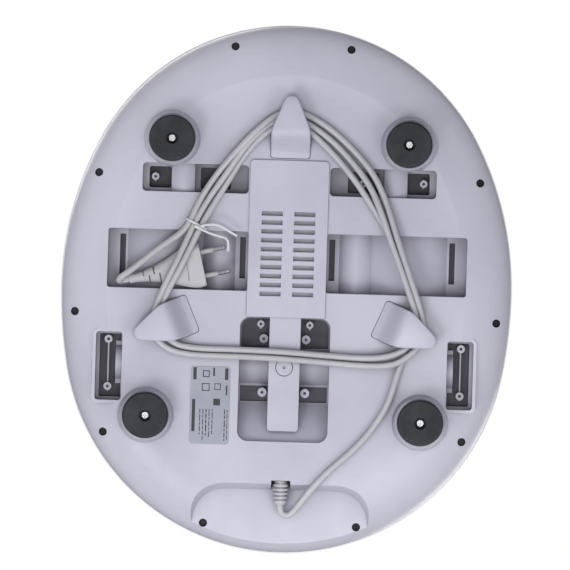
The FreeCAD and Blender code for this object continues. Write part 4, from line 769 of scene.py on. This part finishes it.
def rubber(name, colour, chalk):
    """Matt rubber with pores and a chalky bloom on its edges."""
    material, tree, end = new_material(name)
    hands = use(tree, handling, Scale=35.0)
    edges = use(tree, edge_wear, Radius=0.0016)
    bloom = math_node(tree, "MAXIMUM", math_node(tree, "MULTIPLY", hands.outputs["Mask"], 0.35),
                      math_node(tree, "MULTIPLY", edges.outputs["Mask"], 0.8))
    base = blend_colour(tree, bloom, colour, chalk)
    skin = use(tree, rounded_grain, Radius=0.0008, Grain=0.35, Grain_Scale=900.0)
    finish_surface(tree, end, {"Base Color": base, "Roughness": 0.62,
                               "Normal": skin.outputs["Normal"], "Specular IOR Level": 0.35})
    return material


def dress(material, *names):
    """Give CAD nodes a material and smooth shading between their sharp edges."""
    for name in names:
        piece = nodes[name]
        piece.data.materials.clear()
        piece.data.materials.append(material)
        piece.data.shade_smooth()
        piece.data.set_sharp_from_angle(angle=math.radians(32))


# %% Dress the CAD nodes
# The housing's colour carries painted shade in its pockets and recess and around the hooks, feet
# and cord.
housing = moulded("housing_plastic", tint(207, 206, 218), tint(200, 199, 212), 0.40,
                  reach=0.028, painted_shade=0.62)
hooks = moulded("hook_plastic", tint(206, 206, 217), tint(200, 200, 212), 0.36, radius=0.0009)
upper = moulded("upper_plastic", tint(226, 226, 228), tint(220, 220, 224), 0.34)
inner = moulded("inner_plastic", tint(118, 116, 128), tint(106, 104, 116), 0.5)
# The cord's colour carries painted shade in the gaps between its strands.
cord_skin = moulded("cord_vinyl", tint(208, 208, 210), tint(200, 200, 203), 0.38, grain=0.08,
                    radius=0.0003, cloud=25.0, dust=0.1, reach=0.006, painted_shade=0.75)
dress(housing, "lower_housing")
for piece in hook_pieces.values():
    piece.data.materials.append(hooks)
dress(upper, "upper_housing")
dress(inner, "motor_bracket", "cord_clamp", "board_standoffs", "cover_frame_left",
      "cover_frame_right")
dress(moulded("tray_plastic", tint(214, 214, 224), tint(206, 206, 217), 0.4), "board_tray")


def chassis_plastic():
    """Pale posts on a dark grey plate; the plate's dark colour is painted shade for the deep of the
    housing.
    """
    material, tree, end = new_material("chassis_plastic")
    place = add(tree, "ShaderNodeTexCoord").outputs["Object"]
    height = add(tree, "ShaderNodeSeparateXYZ", {0: place}).outputs["Z"]
    plate = spread(tree, height, 0.0425, 0.0438)
    hands = use(tree, handling, Scale=14.0)
    # Painted shade: the plate is coloured dark grey for the shade deep inside the housing.
    dark = blend_colour(tree, hands.outputs["Mask"], tint(84, 81, 92), tint(72, 70, 80))
    base = blend_colour(tree, plate, tint(196, 196, 207), dark)
    skin = use(tree, rounded_grain, Radius=0.0003, Grain=0.15)
    finish_surface(tree, end, {"Base Color": base, "Roughness": 0.5,
                               "Normal": skin.outputs["Normal"]})
    return material


dress(chassis_plastic(), "chassis_plate")
dress(cord_skin, "strain_relief", "plug_body", "inner_lead")
cord.data.materials.append(cord_skin)

feet = rubber("foot_rubber", tint(60, 61, 66), tint(96, 98, 104))
dress(feet, "foot_front_left", "foot_front_right", "foot_back_left", "foot_back_right")
dress(rubber("dome_rubber", tint(220, 220, 220), tint(200, 200, 200)), "switch_dome")

dress(metal("foot_screw_steel", tint(236, 236, 238), 0.3), "foot_screws")
dress(metal("screw_steel", tint(178, 178, 182), 0.3), "chassis_screws", "axle_pins")
dress(moulded("black_screw", tint(22, 21, 26), tint(15, 15, 18), 0.45, radius=0.0002),
      "housing_screws")
dress(metal("pin_metal", tint(244, 243, 240), 0.1), "plug_pins")
dress(metal("motor_steel", tint(150, 150, 152), 0.35), "drive_motor")
dress(metal("gearbox_metal", tint(170, 170, 172), 0.42), "motor_gearbox")
dress(metal("bezel_plate", tint(225, 225, 228), 0.12), "button_bezel")


def printed_foil():
    """Silver foil under a satin lacquer: brushed lines along it, a little darker by touch."""
    material, tree, end = new_material("rating_foil")
    lines = use(tree, hairlines, Across=1400.0, Along=20.0)
    hands = use(tree, handling, Scale=30.0)
    base = blend_colour(tree, hands.outputs["Mask"], tint(158, 163, 172), tint(148, 152, 162))
    base = blend_colour(tree, math_node(tree, "MULTIPLY", lines.outputs["Mask"], 0.3), base,
                        tint(176, 180, 188))
    rough = spread(tree, lines.outputs["Mask"], 0.0, 1.0, 0.42, 0.55)
    finish_surface(tree, end, {"Base Color": base, "Metallic": 0.25, "Roughness": rough})
    return material


dress(printed_foil(), "rating_plate")
ink = moulded("print_ink", tint(34, 36, 42), tint(28, 30, 35), 0.35, grain=0.03, radius=0.00003)
plate_print.data.materials.append(ink)

dress(moulded("sleeve_plastic", tint(196, 196, 196), tint(188, 188, 190)), "pin_sleeves")
tie_skin = moulded("tie_plastic", tint(240, 240, 244), tint(232, 232, 237), 0.3, radius=0.0001)
for piece in (tie, tie_band):
    piece.data.materials.append(tie_skin)
dress(moulded("disc_plastic", tint(222, 132, 84), tint(212, 120, 74), 0.35),
      *["massage_disc_%s_%s" % (side, row) for side in ("left", "right")
        for row in ("front", "middle", "back")])
gear_plastic = moulded("gear_plastic", tint(232, 228, 214), tint(222, 216, 200), 0.4)
dress(gear_plastic, "idler_gear_left", "idler_gear_right", "output_pinion",
      *["disc_gear_%s_%s" % (side, row) for side in ("left", "right")
        for row in ("front", "middle", "back")])
dress(moulded("button_plastic", tint(214, 214, 218), tint(208, 208, 213), 0.25), "power_button")
dress(moulded("board_green", tint(40, 104, 66), tint(34, 92, 58), 0.3),
      "switch_board", "power_board")
dress(moulded("black_plastic", tint(44, 44, 46), tint(36, 36, 38), 0.35), "tact_switch",
      "board_components", "transformer")
dress(moulded("lamp_red", tint(190, 40, 34), tint(172, 30, 28), 0.15), "heat_lamps")


def make_weave():
    group, start, end = effect("mesh weave", [("Pitch", 0.0022)],
                               [("Height", "NodeSocketFloat"), ("Holes", "NodeSocketFloat")])
    place = add(group, "ShaderNodeTexCoord").outputs["Object"]
    axes = add(group, "ShaderNodeSeparateXYZ", {0: place})
    turns = math_node(group, "DIVIDE", 2 * math.pi, start.outputs["Pitch"])
    ribs = [math_node(group, "SINE", math_node(group, "MULTIPLY", axes.outputs[axis], turns), 0.0)
            for axis in ("X", "Y")]
    crossed = math_node(group, "MULTIPLY", ribs[0], ribs[1])
    open_part = spread(group, crossed, 0.35, 0.8)
    group.links.new(math_node(group, "SUBTRACT", 1.0, open_part), end.inputs["Height"])
    group.links.new(open_part, end.inputs["Holes"])
    return group


mesh_weave = make_weave()


def mesh_cloth():
    """Warp-knitted mesh: pale threads round dark holes, with a soft sheen."""
    material, tree, end = new_material("cover_mesh")
    weave = use(tree, mesh_weave, Pitch=0.0022)
    hands = use(tree, handling, Scale=12.0)
    thread = blend_colour(tree, hands.outputs["Mask"], tint(126, 126, 136), tint(112, 112, 122))
    base = blend_colour(tree, weave.outputs["Holes"], thread, tint(44, 44, 50))
    bump = add(tree, "ShaderNodeBump", {"Height": weave.outputs["Height"], "Strength": 0.7,
                                        "Distance": 0.0006})
    finish_surface(tree, end, {"Base Color": base, "Roughness": 0.85, "Sheen Weight": 0.35,
                               "Normal": bump.outputs[0]})
    return material


cloth_skin = mesh_cloth()
for piece in (cover_left, cover_right):
    piece.data.materials.clear()
    piece.data.materials.append(cloth_skin)

# %% Floor and world materials
def dress_floor():
    """Pale from above, clear from below."""
    material, tree, end = new_material("floor_paint")
    place = add(tree, "ShaderNodeTexCoord").outputs["Object"]
    cloud = add(tree, "ShaderNodeTexNoise", {"Vector": place, "Scale": 1.4, "Detail": 3.0})
    base = blend_colour(tree, cloud.outputs[0], tint(240, 240, 241), tint(234, 234, 236))
    paint = add(tree, "ShaderNodeBsdfPrincipled", {"Base Color": base, "Roughness": 0.7})
    clear = add(tree, "ShaderNodeBsdfTransparent")
    back = add(tree, "ShaderNodeNewGeometry").outputs["Backfacing"]
    mix = add(tree, "ShaderNodeMixShader", {0: back, 1: paint.outputs[0], 2: clear.outputs[0]})
    tree.links.new(mix.outputs[0], end.inputs["Surface"])
    floor.data.materials.append(material)


def light_world():
    """Pure white to the camera, and a softer white to the object."""
    tree = world.node_tree
    tree.nodes.clear()
    seen = add(tree, "ShaderNodeBackground", {"Color": (1, 1, 1, 1), "Strength": 1.0})
    felt = add(tree, "ShaderNodeBackground", {"Color": (0.95, 0.97, 1.0, 1), "Strength": FILL})
    ray = add(tree, "ShaderNodeLightPath").outputs["Is Camera Ray"]
    mix = add(tree, "ShaderNodeMixShader", {0: ray, 1: felt.outputs[0], 2: seen.outputs[0]})
    end = add(tree, "ShaderNodeOutputWorld")
    tree.links.new(mix.outputs[0], end.inputs["Surface"])


dress_floor()
light_world()
print("materials:", len(bpy.data.materials))

# %% [markdown]
# ## The end
#
# The view layer is brought up to date. The dressed model has to stay in the CAD model's
# box.

# %% Finish
bpy.context.view_layer.update()
